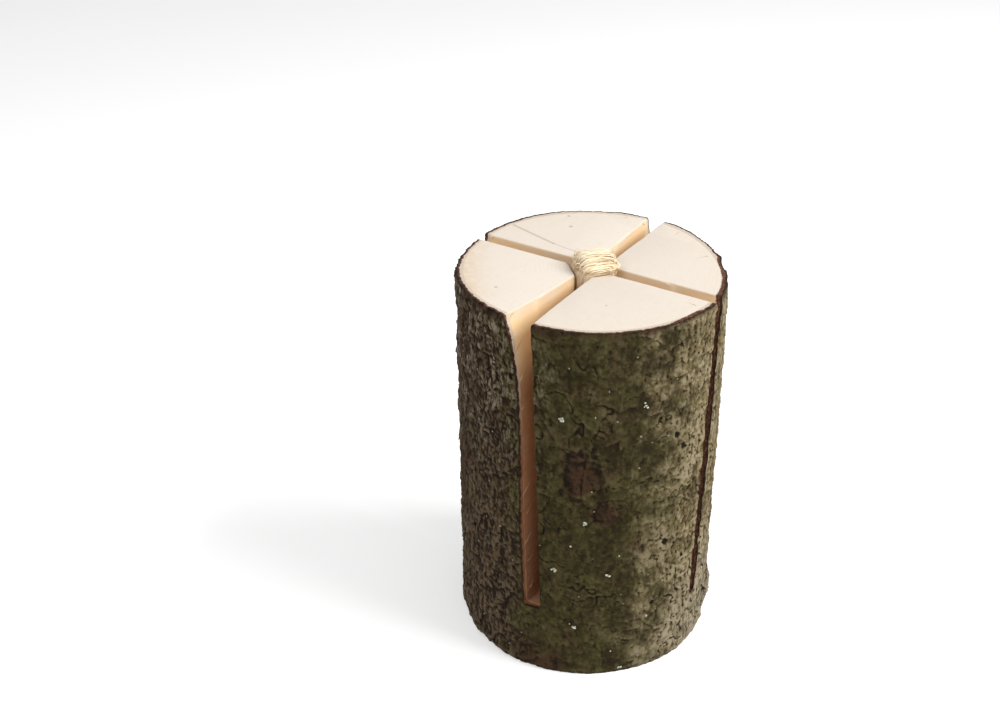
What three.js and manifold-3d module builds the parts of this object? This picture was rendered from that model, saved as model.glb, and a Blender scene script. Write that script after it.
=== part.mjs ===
// A fire log: a short length of spruce trunk in its bark, stood on end. Two saw cuts
// cross in it and run from the top nearly to the foot, so that it burns from the
// middle. A folded hank of wood wool, the wick, stands in a hole where the cuts meet.
// Millimetres, +Z up. The origin is the foot of the hole's axis, on the ground.
import * as THREE from "three";
import { mergeVertices } from "three/addons/utils/BufferGeometryUtils.js";
import Module from "manifold-3d";

const wasm = await Module();
wasm.setup();
const { PI, abs, atan2, cos, exp, floor, hypot, max, min, sin } = Math;
const TURN = 2 * PI;

// Trunk, over its bark
const HEIGHT = 300;
const TOP_RADIUS = 97.4;
const FOOT_RADIUS = 99.2;
const BARK = 5.2;
const BARK_GAP = 0.3;
const OVERSHOOT = 20;

// Bark relief: plates with sunk seams between them
const PLATES_ROUND = 22;
const PLATE_HEIGHT = 29;
const SEAM_DEPTH = 2.9;
const SEAM_WIDTH = 0.26;
const PLATE_STEP = 2;
const THINNEST_BARK = 1.5;
const BARK_SECTORS = 88;
const BARK_ROWS = 32;
const WOOD_SECTORS = 44;

// Branch scars on the bark: a swollen collar with a sunk middle. Turn in degrees.
const SCARS = [
  { turn: 301, z: 190, size: 15, rise: 1.2, sink: 3.4 },
  { turn: 306, z: 154, size: 9, rise: 0.8, sink: 2.0 },
  { turn: 22, z: 22, size: 11, rise: 4.2, sink: 0 },
  { turn: 216, z: 236, size: 11, rise: 2.2, sink: 1.6 },
  { turn: 84, z: 118, size: 16, rise: 2.8, sink: 3.6 },
  { turn: 152, z: 82, size: 12, rise: 2.4, sink: 2.6 },
];

// Saw cuts. Each drifts sideways on its way down, as a hand-held saw does.
const CUT_WIDTH = 9;
const CUT_SPREAD = 1.4;
const CUT_REACH = 240;
const CUT_ACROSS = { along: "x", floor: 47, start: 1.5, drift: -6, steps: 1 };
const CUT_AWAY = { along: "y", floor: 59, start: 2, drift: 7, steps: 10 };
const CUT_FLOOR_ROUND = 5;
const FLARE = 10;
const FLARE_DEPTH = 62;
const FAR_SPLAY = 1.6;
const SAW_MARK = 0.45;
const CUT_ROWS = 16;

// Hole for the wick: the four wood tips are rounded where they meet it
const TIP_DISTANCE = 15.6;
const TIP_ROUND = 2.6;
const HOLE_DEPTH = 84;
const HOLE_SIDES = 40;

// Wick
const WICK_CORE = 12;
const WICK_RISE = 6.5;
const WICK_ROOM = 0.9;
const STRANDS = 12;
const STRAND_WIDTH = 5;
const STRAND_THICK = 2;
const STRAND_TURN = 40;
const STRAND_STEPS = 11;

// Pseudo-random number from 0 to 1 for a pair of whole numbers
function hash(i, j, seed) {
  let h =
    Math.imul(i, 374761393) ^
    Math.imul(j, 668265263) ^
    Math.imul(seed, 1442695041);
  h = Math.imul(h ^ (h >>> 13), 1274126177);
  return ((h ^ (h >>> 16)) >>> 0) / 2 ** 32;
}

const smooth = (t) => t * t * (3 - 2 * t);
const clamp01 = (t) => min(1, max(0, t));
const radians = THREE.MathUtils.degToRad;

// Smooth noise from -1 to 1 that closes on itself after `round` cells of u
function noise(u, v, round, seed) {
  const i = floor(u);
  const j = floor(v);
  const s = smooth(u - i);
  const t = smooth(v - j);
  const at = (a, b) => hash((((i + a) % round) + round) % round, j + b, seed);
  const low = at(0, 0) * (1 - s) + at(1, 0) * s;
  const high = at(0, 1) * (1 - s) + at(1, 1) * s;
  return 2 * (low * (1 - t) + high * t) - 1;
}

// Distances to the nearest and second nearest seed point, and the nearest one's hash
function cells(u, v, round, seed) {
  let near = 9;
  let next = 9;
  let id = 0;
  for (let i = floor(u) - 1; i <= floor(u) + 1; i += 1) {
    for (let j = floor(v) - 1; j <= floor(v) + 1; j += 1) {
      const w = ((i % round) + round) % round;
      const du = i + 0.15 + 0.7 * hash(w, j, seed) - u;
      const dv = j + 0.15 + 0.7 * hash(w, j, seed + 1) - v;
      const d = hypot(du, dv);
      if (d < near) {
        next = near;
        near = d;
        id = hash(w, j, seed + 2);
      } else if (d < next) {
        next = d;
      }
    }
  }
  return { near, next, id };
}

// Radius of the trunk over its bark, before any relief
function trunkRadius(turn, z) {
  const straight = FOOT_RADIUS + ((TOP_RADIUS - FOOT_RADIUS) * z) / HEIGHT;
  const lobes =
    1.1 * cos(2 * turn + 0.6 + z / 300) +
    0.8 * cos(3 * turn - 1.1 + z / 150) +
    0.5 * cos(5 * turn + 2 + z / 80);
  return straight + lobes;
}

// Height of the bark's relief over the trunk's radius
function barkRelief(turn, z) {
  const u = (turn / TURN) * PLATES_ROUND;
  const v = z / PLATE_HEIGHT;
  const warpU = 0.35 * noise(u, v, PLATES_ROUND, 11);
  const warpV = 0.35 * noise(u, v, PLATES_ROUND, 12);
  const plate = cells(u + warpU, v + warpV, PLATES_ROUND, 21);
  const seam = exp(-(((plate.next - plate.near) / SEAM_WIDTH) ** 2));
  return PLATE_STEP * (plate.id - 0.5) - SEAM_DEPTH * seam;
}

function scarRelief(turn, z, radius) {
  let sum = 0;
  for (const scar of SCARS) {
    let across = turn - radians(scar.turn);
    across -= TURN * Math.round(across / TURN);
    const d = hypot(across * radius, z - scar.z) / scar.size;
    sum += scar.rise * exp(-((d / 1.3) ** 4)) - scar.sink * exp(-((d / 0.7) ** 2));
  }
  return sum;
}

function barkRadius(turn, z) {
  const base = trunkRadius(turn, z);
  const relief = barkRelief(turn, z) + scarRelief(turn, z, base);
  return base + max(relief, THINNEST_BARK - BARK);
}

// Middle of a saw cut at a height, and half its width there
function cutMiddle(cut, z) {
  return cut.start + (cut.drift * (HEIGHT - z)) / CUT_REACH;
}

function cutHalfWidth(cut, z) {
  const spread = CUT_SPREAD * clamp01((z - cut.floor) / CUT_REACH);
  const below = clamp01((cut.floor + CUT_FLOOR_ROUND - z) / CUT_FLOOR_ROUND);
  return (CUT_WIDTH + spread) / 2 - 1.8 * below ** 2;
}

// Where the saw went in, one wall is broken out beside the cut; where it came out at
// the far end, both walls are worn a little wider
function flare(along, side, z) {
  const out = along / TOP_RADIUS;
  const up = clamp01((z - (HEIGHT - FLARE_DEPTH)) / FLARE_DEPTH) ** 2;
  const broken = side < 0 ? FLARE * clamp01(-out) ** 1.4 : 0;
  return up * (broken + FAR_SPLAY * clamp01(out) ** 2);
}

// The chain leaves the walls in shallow steps
function sawMark(side, z) {
  return SAW_MARK * (2 * hash(Math.round(z), side, 7) - 1);
}

// Boolean work: a geometry as a solid, and a solid as a geometry
function solidOf(geometry) {
  const bare = geometry.clone();
  bare.deleteAttribute("normal");
  bare.deleteAttribute("uv");
  const merged = mergeVertices(bare, 1e-4);
  return new wasm.Manifold(
    new wasm.Mesh({
      numProp: 3,
      vertProperties: new Float32Array(merged.attributes.position.array),
      triVerts: new Uint32Array(merged.index.array),
    }),
  );
}

function geometryOf(solid) {
  const mesh = solid.getMesh();
  const indexed = new THREE.BufferGeometry();
  indexed.setAttribute(
    "position",
    new THREE.BufferAttribute(mesh.vertProperties, 3),
  );
  indexed.setIndex(new THREE.BufferAttribute(mesh.triVerts, 1));
  const flat = indexed.toNonIndexed();
  flat.computeVertexNormals();
  return flat;
}

// Fills the sealed hollows that are left where strands close over each other
function withoutCavities(solid) {
  const shells = solid.decompose();
  return shells.reduce((most, shell) => (shell.volume() > most.volume() ? shell : most));
}

// Moves every point of a geometry by move(point)
function reshape(geometry, move) {
  const place = geometry.attributes.position;
  const point = new THREE.Vector3();
  for (let i = 0; i < place.count; i += 1) {
    move(point.fromBufferAttribute(place, i));
    place.setXYZ(i, point.x, point.y, point.z);
  }
  return geometry;
}

// An upright post from z low to high whose radius is radiusAt(turn, z)
function post(radiusAt, low, high, sectors, rows) {
  const blank = new THREE.CylinderGeometry(1, 1, high - low, sectors, rows);
  blank.rotateX(PI / 2).translate(0, 0, (low + high) / 2);
  return reshape(blank, (p) => {
    const share = min(1, hypot(p.x, p.y));
    const turn = Math.round((atan2(p.y, p.x) / TURN) * sectors * 2) / (sectors * 2);
    const radius = share > 0.5 ? radiusAt(((turn + 1) % 1) * TURN, p.z) : 0;
    p.x = radius * cos(turn * TURN);
    p.y = radius * sin(turn * TURN);
  });
}

// The material that one saw cut takes out, right across the trunk
function sawCut(cut) {
  const length = 2 * (FOOT_RADIUS + OVERSHOOT);
  const tall = HEIGHT + OVERSHOOT - cut.floor;
  const across = cut.along === "x" ? "y" : "x";
  const blank = new THREE.BoxGeometry(length, 2, tall, cut.steps, 1, CUT_ROWS);
  blank.translate(0, 0, cut.floor + tall / 2);
  blank.rotateZ(cut.along === "x" ? 0 : PI / 2);
  reshape(blank, (p) => {
    const side = Math.sign(p[across]);
    let half = cutHalfWidth(cut, p.z) + sawMark(side, p.z);
    if (cut === CUT_AWAY) half += flare(p.y, side, min(p.z, HEIGHT));
    p[across] = cutMiddle(cut, p.z) + side * half;
  });
  return solidOf(blank);
}

// The hole is squarish: a flat faces each wood tip, rounded off towards the cuts
function holeRadius(turn) {
  const quarter = turn / (PI / 2) - floor(turn / (PI / 2));
  const off = abs(quarter - 0.5) * 2;
  const flat = TIP_DISTANCE / cos((off * PI) / 4);
  return min(flat, TIP_DISTANCE * 1.18) + TIP_ROUND * off ** 4;
}

function wickHole() {
  const floorZ = HEIGHT - HOLE_DEPTH;
  return solidOf(post(holeRadius, floorZ, HEIGHT + OVERSHOOT, HOLE_SIDES, 1));
}

function makeWood(cuts) {
  const radiusAt = (turn, z) => trunkRadius(turn, z) - BARK;
  const round = solidOf(post(radiusAt, 0, HEIGHT, WOOD_SECTORS, 6));
  return cuts.reduce((left, cut) => left.subtract(cut), round).subtract(wickHole());
}

function makeBark(cuts) {
  const innerAt = (turn, z) => trunkRadius(turn, z) - BARK + BARK_GAP;
  const outer = solidOf(post(barkRadius, 0, HEIGHT, BARK_SECTORS, BARK_ROWS));
  const inner = solidOf(
    post(innerAt, -OVERSHOOT, HEIGHT + OVERSHOOT, WOOD_SECTORS, 6),
  );
  return cuts.reduce((left, cut) => left.subtract(cut), outer.subtract(inner));
}

// One strand of the wick: up one side of the hank, over its top and down the other
function strand(index) {
  const place = (index + 0.5) / STRANDS;
  const lane = 2 * place - 1;
  const jitter = 2 * hash(index, 3, 5) - 1;
  const reach = WICK_CORE * (1.02 + 0.1 * hash(index, 7, 5));
  const crown = WICK_RISE * (1 - 0.55 * lane * lane) + 1.6 * jitter + 2;
  const half = reach * Math.sqrt(max(0.12, 1 - lane * lane * 0.86));
  const points = [];
  for (let k = 0; k <= 8; k += 1) {
    const t = (k / 8) * 2 - 1;
    const bend = 1 - abs(t) ** 2.4;
    const across = half * sin((t * PI) / 2) * (1 - 0.06 * jitter);
    const side = lane * reach * 0.82 + 2.2 * jitter * t;
    const z = HEIGHT - 24 + (24 + crown) * bend ** 0.55;
    points.push(new THREE.Vector3(across, side, z));
  }
  const path = new THREE.CatmullRomCurve3(points);
  const w = STRAND_WIDTH / 2;
  const h = STRAND_THICK / 2;
  const section = new THREE.Shape([
    new THREE.Vector2(-h, -w),
    new THREE.Vector2(h * 1.3, 0),
    new THREE.Vector2(-h, w),
    new THREE.Vector2(-h * 1.6, 0),
  ]);
  const options = { steps: STRAND_STEPS, extrudePath: path, bevelEnabled: false };
  return solidOf(new THREE.ExtrudeGeometry(section, options));
}

// The hank's stem is ribbed with twisted strands and has a domed head
function makeWick() {
  const foot = HEIGHT - HOLE_DEPTH + BARK_GAP;
  const top = HEIGHT + WICK_RISE * 0.6;
  const radiusAt = (turn, z) => {
    const ribs = 0.7 * cos(9 * turn + z / 14);
    const dome = Math.sqrt(max(0.1, 1 - clamp01((z - top + 9) / 10) ** 2));
    return (WICK_CORE + ribs) * dome;
  };
  let hank = solidOf(post(radiusAt, foot, top, 36, 16));
  for (let i = 0; i < STRANDS; i += 1) hank = hank.add(strand(i));
  const room = solidOf(post(() => TIP_DISTANCE - WICK_ROOM, foot, top + 20, 36, 1));
  return withoutCavities(hank.intersect(room)).rotate([0, 0, STRAND_TURN]);
}

const COLOURS = {
  wood: new THREE.Color(0.86, 0.74, 0.56),
  bark: new THREE.Color(0.16, 0.13, 0.085),
  wick: new THREE.Color(0.86, 0.71, 0.43),
};

function named(name, solid) {
  const material = new THREE.MeshStandardMaterial({
    name,
    color: COLOURS[name],
    roughness: 0.9,
    metalness: 0,
  });
  const mesh = new THREE.Mesh(geometryOf(solid), material);
  mesh.name = name;
  return mesh;
}

function fireLog() {
  const cuts = [sawCut(CUT_ACROSS), sawCut(CUT_AWAY)];
  const log = new THREE.Group();
  log.name = "fire_log";
  log.add(named("wood", makeWood(cuts)));
  log.add(named("bark", makeBark(cuts)));
  log.add(named("wick", makeWick()));
  return log;
}

export default fireLog();
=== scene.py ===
"""Looks of a fire log: scaly bark, sawn wood and a wood-wool wick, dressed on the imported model.

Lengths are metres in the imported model's frame: +Z up, the middle of the foot at the origin. A turn is
an angle about Z, from +X towards +Y, in radians unless its name says degrees.
"""

import logging
import math
from collections.abc import Iterable, Iterator
from dataclasses import dataclass, field
from enum import Enum

import bpy
import numpy as np
from mathutils import Matrix, Vector


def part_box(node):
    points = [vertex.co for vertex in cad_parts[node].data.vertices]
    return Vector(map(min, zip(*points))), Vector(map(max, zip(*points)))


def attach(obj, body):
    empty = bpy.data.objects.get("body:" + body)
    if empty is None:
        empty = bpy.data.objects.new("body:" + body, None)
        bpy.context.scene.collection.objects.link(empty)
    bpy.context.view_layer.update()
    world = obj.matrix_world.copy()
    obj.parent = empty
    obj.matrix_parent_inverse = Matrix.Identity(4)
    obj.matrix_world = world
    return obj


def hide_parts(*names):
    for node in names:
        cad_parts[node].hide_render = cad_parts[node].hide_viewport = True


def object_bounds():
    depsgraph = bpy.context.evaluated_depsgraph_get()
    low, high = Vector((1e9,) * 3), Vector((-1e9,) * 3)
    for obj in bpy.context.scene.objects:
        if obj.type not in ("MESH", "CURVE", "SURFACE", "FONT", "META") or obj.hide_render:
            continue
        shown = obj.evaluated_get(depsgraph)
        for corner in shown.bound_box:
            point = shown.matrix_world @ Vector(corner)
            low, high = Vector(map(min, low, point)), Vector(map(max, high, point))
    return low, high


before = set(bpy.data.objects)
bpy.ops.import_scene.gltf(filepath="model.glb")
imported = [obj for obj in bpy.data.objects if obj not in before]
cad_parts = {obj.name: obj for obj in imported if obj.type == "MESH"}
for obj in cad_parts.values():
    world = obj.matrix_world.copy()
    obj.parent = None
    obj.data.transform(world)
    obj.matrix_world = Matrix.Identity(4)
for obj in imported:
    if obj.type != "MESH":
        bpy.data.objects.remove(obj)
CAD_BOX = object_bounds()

LOG = logging.getLogger("fire_log")
FULL = 2 * math.pi
Array = np.ndarray
Draw = np.random.Generator
Piece = bpy.types.Object
Colour = tuple[float, float, float]
MM = 0.001

# Cells round for noise that doesn't have to close on itself
OPEN = 4096
# Most cuts that one round of subdividing gets
MOST_CUTS = 100
# Where rows of points lie on a rounded top edge, as shares of its rounding from the top down
LIP_ROWS = (0.0, 0.08, 0.3, 0.65, 1.0)


def lattice(i: Array, j: Array, seed: int) -> Array:
    """Gives a repeatable random number for each pair of whole numbers.

    Args:
        i: Whole numbers across.
        j: Whole numbers up.
        seed: Which set of numbers to draw from.

    Returns:
        Numbers from 0 to 1, shaped like i.
    """
    word = 0xFFFFFFFF
    mixed = (i.astype(np.int64) * 374761393) ^ (j.astype(np.int64) * 668265263) ^ (seed * 1442695041)
    mixed = (mixed & word).astype(np.uint64)
    mixed = ((mixed ^ (mixed >> np.uint64(13))) * np.uint64(1274126177)) & np.uint64(word)
    return (mixed ^ (mixed >> np.uint64(16))).astype(float) / 2**32


def smooth_step(value: Array, low: float, high: float) -> Array:
    """Rises smoothly from 0 at low to 1 at high, or falls from 1 to 0 where low is the higher."""
    t = np.clip((value - low) / (high - low), 0, 1)
    return t * t * (3 - 2 * t)


def noise(u: Array, v: Array, around: int, seed: int) -> Array:
    """Draws smooth noise that closes on itself after a number of cells of u.

    Args:
        u: Places across, in cells.
        v: Places up, in cells.
        around: How many cells of u make one full turn.
        seed: Which noise.

    Returns:
        Numbers from -1 to 1.
    """
    i, j = np.floor(u), np.floor(v)
    s, t = smooth_step(u - i, 0, 1), smooth_step(v - j, 0, 1)
    left, right = np.mod(i, around), np.mod(i + 1, around)
    low = lattice(left, j, seed) * (1 - s) + lattice(right, j, seed) * s
    high = lattice(left, j + 1, seed) * (1 - s) + lattice(right, j + 1, seed) * s
    return 2 * (low * (1 - t) + high * t) - 1


def layered_noise(u: Array, v: Array, around: int, seed: int, layers: int) -> Array:
    """Adds layers of noise, each twice as fine and half as strong.

    Args:
        u: Places across, in cells of the first layer.
        v: Places up, in cells of the first layer.
        around: How many cells of the first layer make one full turn.
        seed: Which noise.
        layers: How many layers.

    Returns:
        Numbers within -2 and 2.
    """
    total = np.zeros_like(u)
    for layer in range(layers):
        scale = 2**layer
        total += noise(u * scale, v * scale, around * scale, seed + layer) / scale
    return total


@dataclass
class Cells:
    """Scattered cells, one round each seed point, read at many places.

    Attributes:
        near: Distance to the nearest seed point, in cells.
        gap: How much further the second nearest is: 0 on a cell's edge.
        across: Place across, from the nearest seed point.
        up: Place up, from the nearest seed point.
        column: Whole number of the nearest point's column.
        row: Whole number of its row.
    """

    near: Array
    gap: Array
    across: Array
    up: Array
    column: Array
    row: Array

    @classmethod
    def read(cls, u: Array, v: Array, around: int, seed: int) -> "Cells":
        """Finds the nearest seed points.

        Args:
            u: Places across, in cells.
            v: Places up, in cells.
            around: How many cells make one full turn.
            seed: Which scatter.

        Returns:
            The cells at those places.
        """
        near, second = np.full_like(u, 9.0), np.full_like(u, 9.0)
        across, up = np.zeros_like(u), np.zeros_like(u)
        column, row = np.zeros_like(u), np.zeros_like(u)
        for di in (-1, 0, 1):
            for dj in (-1, 0, 1):
                i, j = np.floor(u) + di, np.floor(v) + dj
                wrapped = np.mod(i, around)
                du = u - (i + 0.15 + 0.7 * lattice(wrapped, j, seed))
                dv = v - (j + 0.15 + 0.7 * lattice(wrapped, j, seed + 1))
                distance = np.hypot(du, dv)
                closer = distance < near
                second = np.where(closer, near, np.minimum(second, distance))
                near = np.where(closer, distance, near)
                across, up = np.where(closer, du, across), np.where(closer, dv, up)
                column, row = np.where(closer, wrapped, column), np.where(closer, j, row)
        return cls(near, second - near, across, up, column, row)

    def draw(self, seed: int) -> Array:
        """Gives each cell one random number from 0 to 1."""
        return lattice(self.column, self.row, seed)

    def edge(self, width: float) -> Array:
        """Is 1 on the cells' edges and falls to 0 within width."""
        return np.exp(-((self.gap / width) ** 2))


class Along(Enum):
    """The way that a saw cut runs."""

    X = 0
    Y = 1


@dataclass
class Scar:
    """A healed branch on the bark: a swollen collar with a sunk middle."""

    turn_degrees: float
    z: float
    size: float
    rise: float
    sink: float


@dataclass
class Trunk:
    """The trunk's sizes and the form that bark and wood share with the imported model."""

    height: float
    top_radius: float = 97.4 * MM
    foot_radius: float = 99.2 * MM
    bark: float = 5.2 * MM
    bark_gap: float = 0.3 * MM
    plates_round: int = 22
    plate_height: float = 29 * MM
    seam_depth: float = 2.9 * MM
    plate_step: float = 2 * MM
    scars: list[Scar] = field(
        default_factory=lambda: [
            Scar(306, 154 * MM, 9 * MM, 0.8 * MM, 2.0 * MM),
            Scar(22, 22 * MM, 11 * MM, 4.2 * MM, 0.0),
            Scar(216, 236 * MM, 11 * MM, 2.2 * MM, 1.6 * MM),
            Scar(84, 118 * MM, 16 * MM, 2.8 * MM, 3.6 * MM),
            Scar(152, 82 * MM, 12 * MM, 2.4 * MM, 2.6 * MM),
        ]
    )

    def radius(self, turn: Array, z: Array) -> Array:
        """Gives the radius over the bark, before any relief.

        Args:
            turn: Turns.
            z: Heights.

        Returns:
            Radii.
        """
        straight = self.foot_radius + (self.top_radius - self.foot_radius) * z / self.height
        lobes = 1.1 * np.cos(2 * turn + 0.6 + z / 0.3)
        lobes = lobes + 0.8 * np.cos(3 * turn - 1.1 + z / 0.15)
        lobes = lobes + 0.5 * np.cos(5 * turn + 2 + z / 0.08)
        return straight + lobes * MM

    def inner_radius(self, turn: Array, z: Array) -> Array:
        """Gives the radius of the bark's inner face."""
        return self.radius(turn, z) - self.bark + self.bark_gap

    def plates(self, turn: Array, z: Array) -> Cells:
        """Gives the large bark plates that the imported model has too.

        Args:
            turn: Turns.
            z: Heights.

        Returns:
            The plates.
        """
        u, v = turn / FULL * self.plates_round, z / self.plate_height
        warp_u = 0.35 * noise(u, v, self.plates_round, 11)
        warp_v = 0.35 * noise(u, v, self.plates_round, 12)
        return Cells.read(u + warp_u, v + warp_v, self.plates_round, 21)

    def scar_distance(self, scar: Scar, turn: Array, z: Array) -> Array:
        """Gives the distance from a scar's middle, in scar sizes.

        Args:
            scar: The scar.
            turn: Turns.
            z: Heights.

        Returns:
            Distances.
        """
        across = turn - math.radians(scar.turn_degrees)
        across = across - FULL * np.round(across / FULL)
        return np.hypot(across * self.radius(turn, z), z - scar.z) / scar.size


@dataclass
class ReliefMap:
    """Numbers on a fine grid round the bark, read back at any turn and height."""

    height: float
    columns: int = 960
    rows: int = 461
    layers: dict[str, Array] = field(default_factory=dict)

    def grid(self) -> tuple[Array, Array]:
        """Gives the turn and the height of each place on the grid."""
        turns = np.arange(self.columns) / self.columns * FULL
        return tuple(np.meshgrid(turns, np.linspace(0, self.height, self.rows)))

    def read(self, name: str, turn: Array, z: Array) -> Array:
        """Reads a layer between the grid's places.

        Args:
            name: The layer.
            turn: Turns.
            z: Heights.

        Returns:
            Its numbers there.
        """
        layer = self.layers[name]
        u, v = turn / FULL * self.columns, np.clip(z / self.height, 0, 1) * (self.rows - 1)
        i, j = np.floor(u).astype(int), np.minimum(np.floor(v), self.rows - 2).astype(int)
        s, t = u - i, v - j
        i, right = i % self.columns, (i + 1) % self.columns
        low = layer[j, i] * (1 - s) + layer[j, right] * s
        high = layer[j + 1, i] * (1 - s) + layer[j + 1, right] * s
        return low * (1 - t) + high * t

    def blurred(self, name: str, cells: int) -> Array:
        """Averages a layer over a square of grid cells, twice.

        Args:
            name: The layer.
            cells: How many cells the square reaches to each side.

        Returns:
            The averages.
        """
        layer = self.layers[name]
        for _ in range(2):
            layer = sum(np.roll(layer, shift, axis=1) for shift in range(-cells, cells + 1))
            padded = np.pad(layer, ((cells, cells), (0, 0)), mode="edge")
            layer = sum(padded[shift : shift + self.rows] for shift in range(2 * cells + 1))
            layer = layer / (2 * cells + 1) ** 2
        return layer


@dataclass
class SawCut:
    """One saw cut right across the trunk, from the top nearly to the foot."""

    trunk: Trunk
    along: Along
    floor: float
    start: float
    drift: float
    width: float = 9 * MM
    spread: float = 1.4 * MM
    reach: float = 240 * MM
    floor_round: float = 5 * MM
    flare: float = 0.0
    far_splay: float = 0.0
    near_open: tuple = (0.0, 0.0)
    flare_depth: float = 62 * MM
    lip: float = 1.3 * MM
    overshoot: float = 20 * MM
    seed: int = 1
    columns: int = 64
    rows: int = 118

    def middle(self, z: Array) -> Array:
        """Gives where the cut's middle plane is, across the cut."""
        return self.start + self.drift * (self.trunk.height - z) / self.reach

    def half_width(self, z: Array) -> Array:
        """Gives half the cut's width, before saw marks.

        Args:
            z: Heights.

        Returns:
            Half widths.
        """
        spread = self.spread * np.clip((z - self.floor) / self.reach, 0, 1)
        below = np.clip((self.floor + self.floor_round - z) / self.floor_round, 0, 1)
        return (self.width + spread) / 2 - 1.8 * MM * below**2

    def broken_out(self, run: Array, side: Array, z: Array) -> Array:
        """Gives how far a wall stands back where the saw went in and came out.

        Args:
            run: Places along the cut.
            side: -1 for the lower side's wall and 1 for the other.
            z: Heights.

        Returns:
            Lengths.
        """
        out = run / self.trunk.top_radius
        up = np.clip((z - (self.trunk.height - self.flare_depth)) / self.flare_depth, 0, 1) ** 2
        broken = np.where(side < 0, self.flare * np.clip(-out, 0, 1) ** 1.4, 0)
        deep = np.clip(1 - z / self.trunk.height, 0, 1) ** 0.83
        opened = np.where(side < 0, self.near_open[0], self.near_open[1] * deep)
        return up * (broken + self.far_splay * np.clip(out, 0, 1) ** 2) + opened * np.clip(-out, 0, 1) ** 3

    def saw_marks(self, run: Array, side: Array, z: Array) -> Array:
        """Gives the steps that the chain left on a wall.

        Args:
            run: Places along the cut.
            side: -1 for the lower side's wall and 1 for the other.
            z: Heights.

        Returns:
            Lengths, more where the cut is wider.
        """
        which = np.where(side > 0, 1, 0)
        level = z / (11 * MM) + 0.4 * noise(run / (40 * MM), z / (30 * MM), OPEN, self.seed + 3)
        row = np.floor(level)
        step = lattice(row, which, self.seed) * (1 - (level - row)) ** 0.6
        fine = noise(run / (60 * MM), z / (2.4 * MM), OPEN, self.seed + 5)
        wave = noise(run / (22 * MM), z / (17 * MM), OPEN, self.seed + 7)
        return (0.75 * (step - 0.35) + 0.16 * fine + 0.3 * wave) * MM

    def wall(self, run: Array, side: Array, z: Array) -> Array:
        """Gives a wall's place across the cut.

        Args:
            run: Places along the cut.
            side: -1 for the wall at the lower side and 1 for the other.
            z: Heights.

        Returns:
            Places across the cut.
        """
        level = np.minimum(z, self.trunk.height)
        half = self.half_width(z) + self.saw_marks(run, side, z)
        half = half + self.broken_out(run, side, level) + lip_width(level, self.trunk.height, self.lip)
        half = half + self.chips(run, side, z)
        return self.middle(z) + side * half

    def cutter(self) -> Piece:
        """Builds the solid that the cut takes out.

        Returns:
            The solid.
        """
        top, run_axis = self.trunk.height, self.along.value
        length, high = 2 * (self.trunk.foot_radius + self.overshoot), top + self.overshoot
        tall = high - self.floor
        size = (length, 2 * MM, tall) if self.along is Along.X else (2 * MM, length, tall)
        cuts = (self.columns, 0, self.rows) if self.along is Along.X else (0, self.columns, self.rows)
        blank = block("saw_cut", size, (0, 0, self.floor + tall / 2), cuts)
        points = read_points(blank)
        shares = (*LIP_ROWS, 1.6)
        points[:, 2] = rows_at_lip(points[:, 2], (self.floor, high), self.rows + 1, top, self.lip, shares)
        points[:, run_axis] = self.fine_columns_at_rim(points[:, run_axis])
        across = 1 - run_axis
        points[:, across] = self.wall(points[:, run_axis], np.sign(points[:, across]), points[:, 2])
        write_points(blank, points)
        return blank

    def fine_columns_at_rim(self, run: Array) -> Array:
        """Moves columns towards the rim, where the bark's cut edge is ragged.

        Args:
            run: Places along the cut, in even columns.

        Returns:
            The new places.
        """
        rim, end = self.trunk.top_radius - 2 * MM, self.trunk.foot_radius + self.overshoot
        share = np.abs(run) / end
        bent = share + 0.16 * np.sin(FULL * share) * (1 - share)
        inside = rim * np.clip(bent / 0.75, 0, 1)
        outside = rim + (end - rim) * np.clip((share - 0.75) / 0.25, 0, 1) ** 2
        return np.sign(run) * np.where(share < 0.75, inside, outside)

    def chips(self, run: Array, side: Array, z: Array) -> Array:
        """Gives how far the bark's cut edge is chipped away, near the rim only.

        Args:
            run: Places along the cut.
            side: -1 for the lower side's wall and 1 for the other.
            z: Heights.

        Returns:
            Lengths.
        """
        near = smooth_step(np.abs(run), self.trunk.top_radius - 8 * MM, self.trunk.top_radius)
        which = np.where(side > 0, 1, 0) * 977 + np.where(run > 0, 1, 0) * 331
        chip = noise(z / (5.5 * MM) + which, np.zeros_like(z), OPEN, self.seed + 11)
        bite = noise(z / (14 * MM) + which, np.zeros_like(z), OPEN, self.seed + 13)
        return near * (0.35 * chip + 1.1 * np.clip(bite - 0.15, 0, 1)) * MM


def lip_width(z: Array, top: float, lip: float) -> Array:
    """Gives what each side of a hole gains at heights z, where its top edge is worn round."""
    share = np.clip((z - (top - lip)) / lip, 0, 1)
    return lip * (1 - np.sqrt(1 - share**2)) * 0.7


def rows_at_lip(z: Array, ends: tuple, steps: int, top: float, lip: float, shares: tuple) -> Array:
    """Moves the rows of points nearest a top edge so that they follow its rounding.

    Args:
        z: The points' heights, in even rows.
        ends: The lowest and the highest row.
        steps: How many steps lie between them.
        top: The edge's height.
        lip: How far below the top the rounding starts.
        shares: Where the rows go below the top, as shares of the lip.

    Returns:
        The new heights.
    """
    low, high = ends
    row = (high - low) / steps
    index = np.round((z - low) / row)
    last = math.floor((top - low) / row)
    moved = z.copy()
    for step, below in enumerate(shares):
        moved[index == last - step] = top - below * lip
    return moved


def clear_selection() -> None:
    """Deselects every object."""
    bpy.ops.object.select_all(action="DESELECT")


def make_active(piece: Piece) -> None:
    """Selects one object and makes it the active one.

    Args:
        piece: The object.
    """
    clear_selection()
    piece.select_set(True)
    bpy.context.view_layer.objects.active = piece


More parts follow.
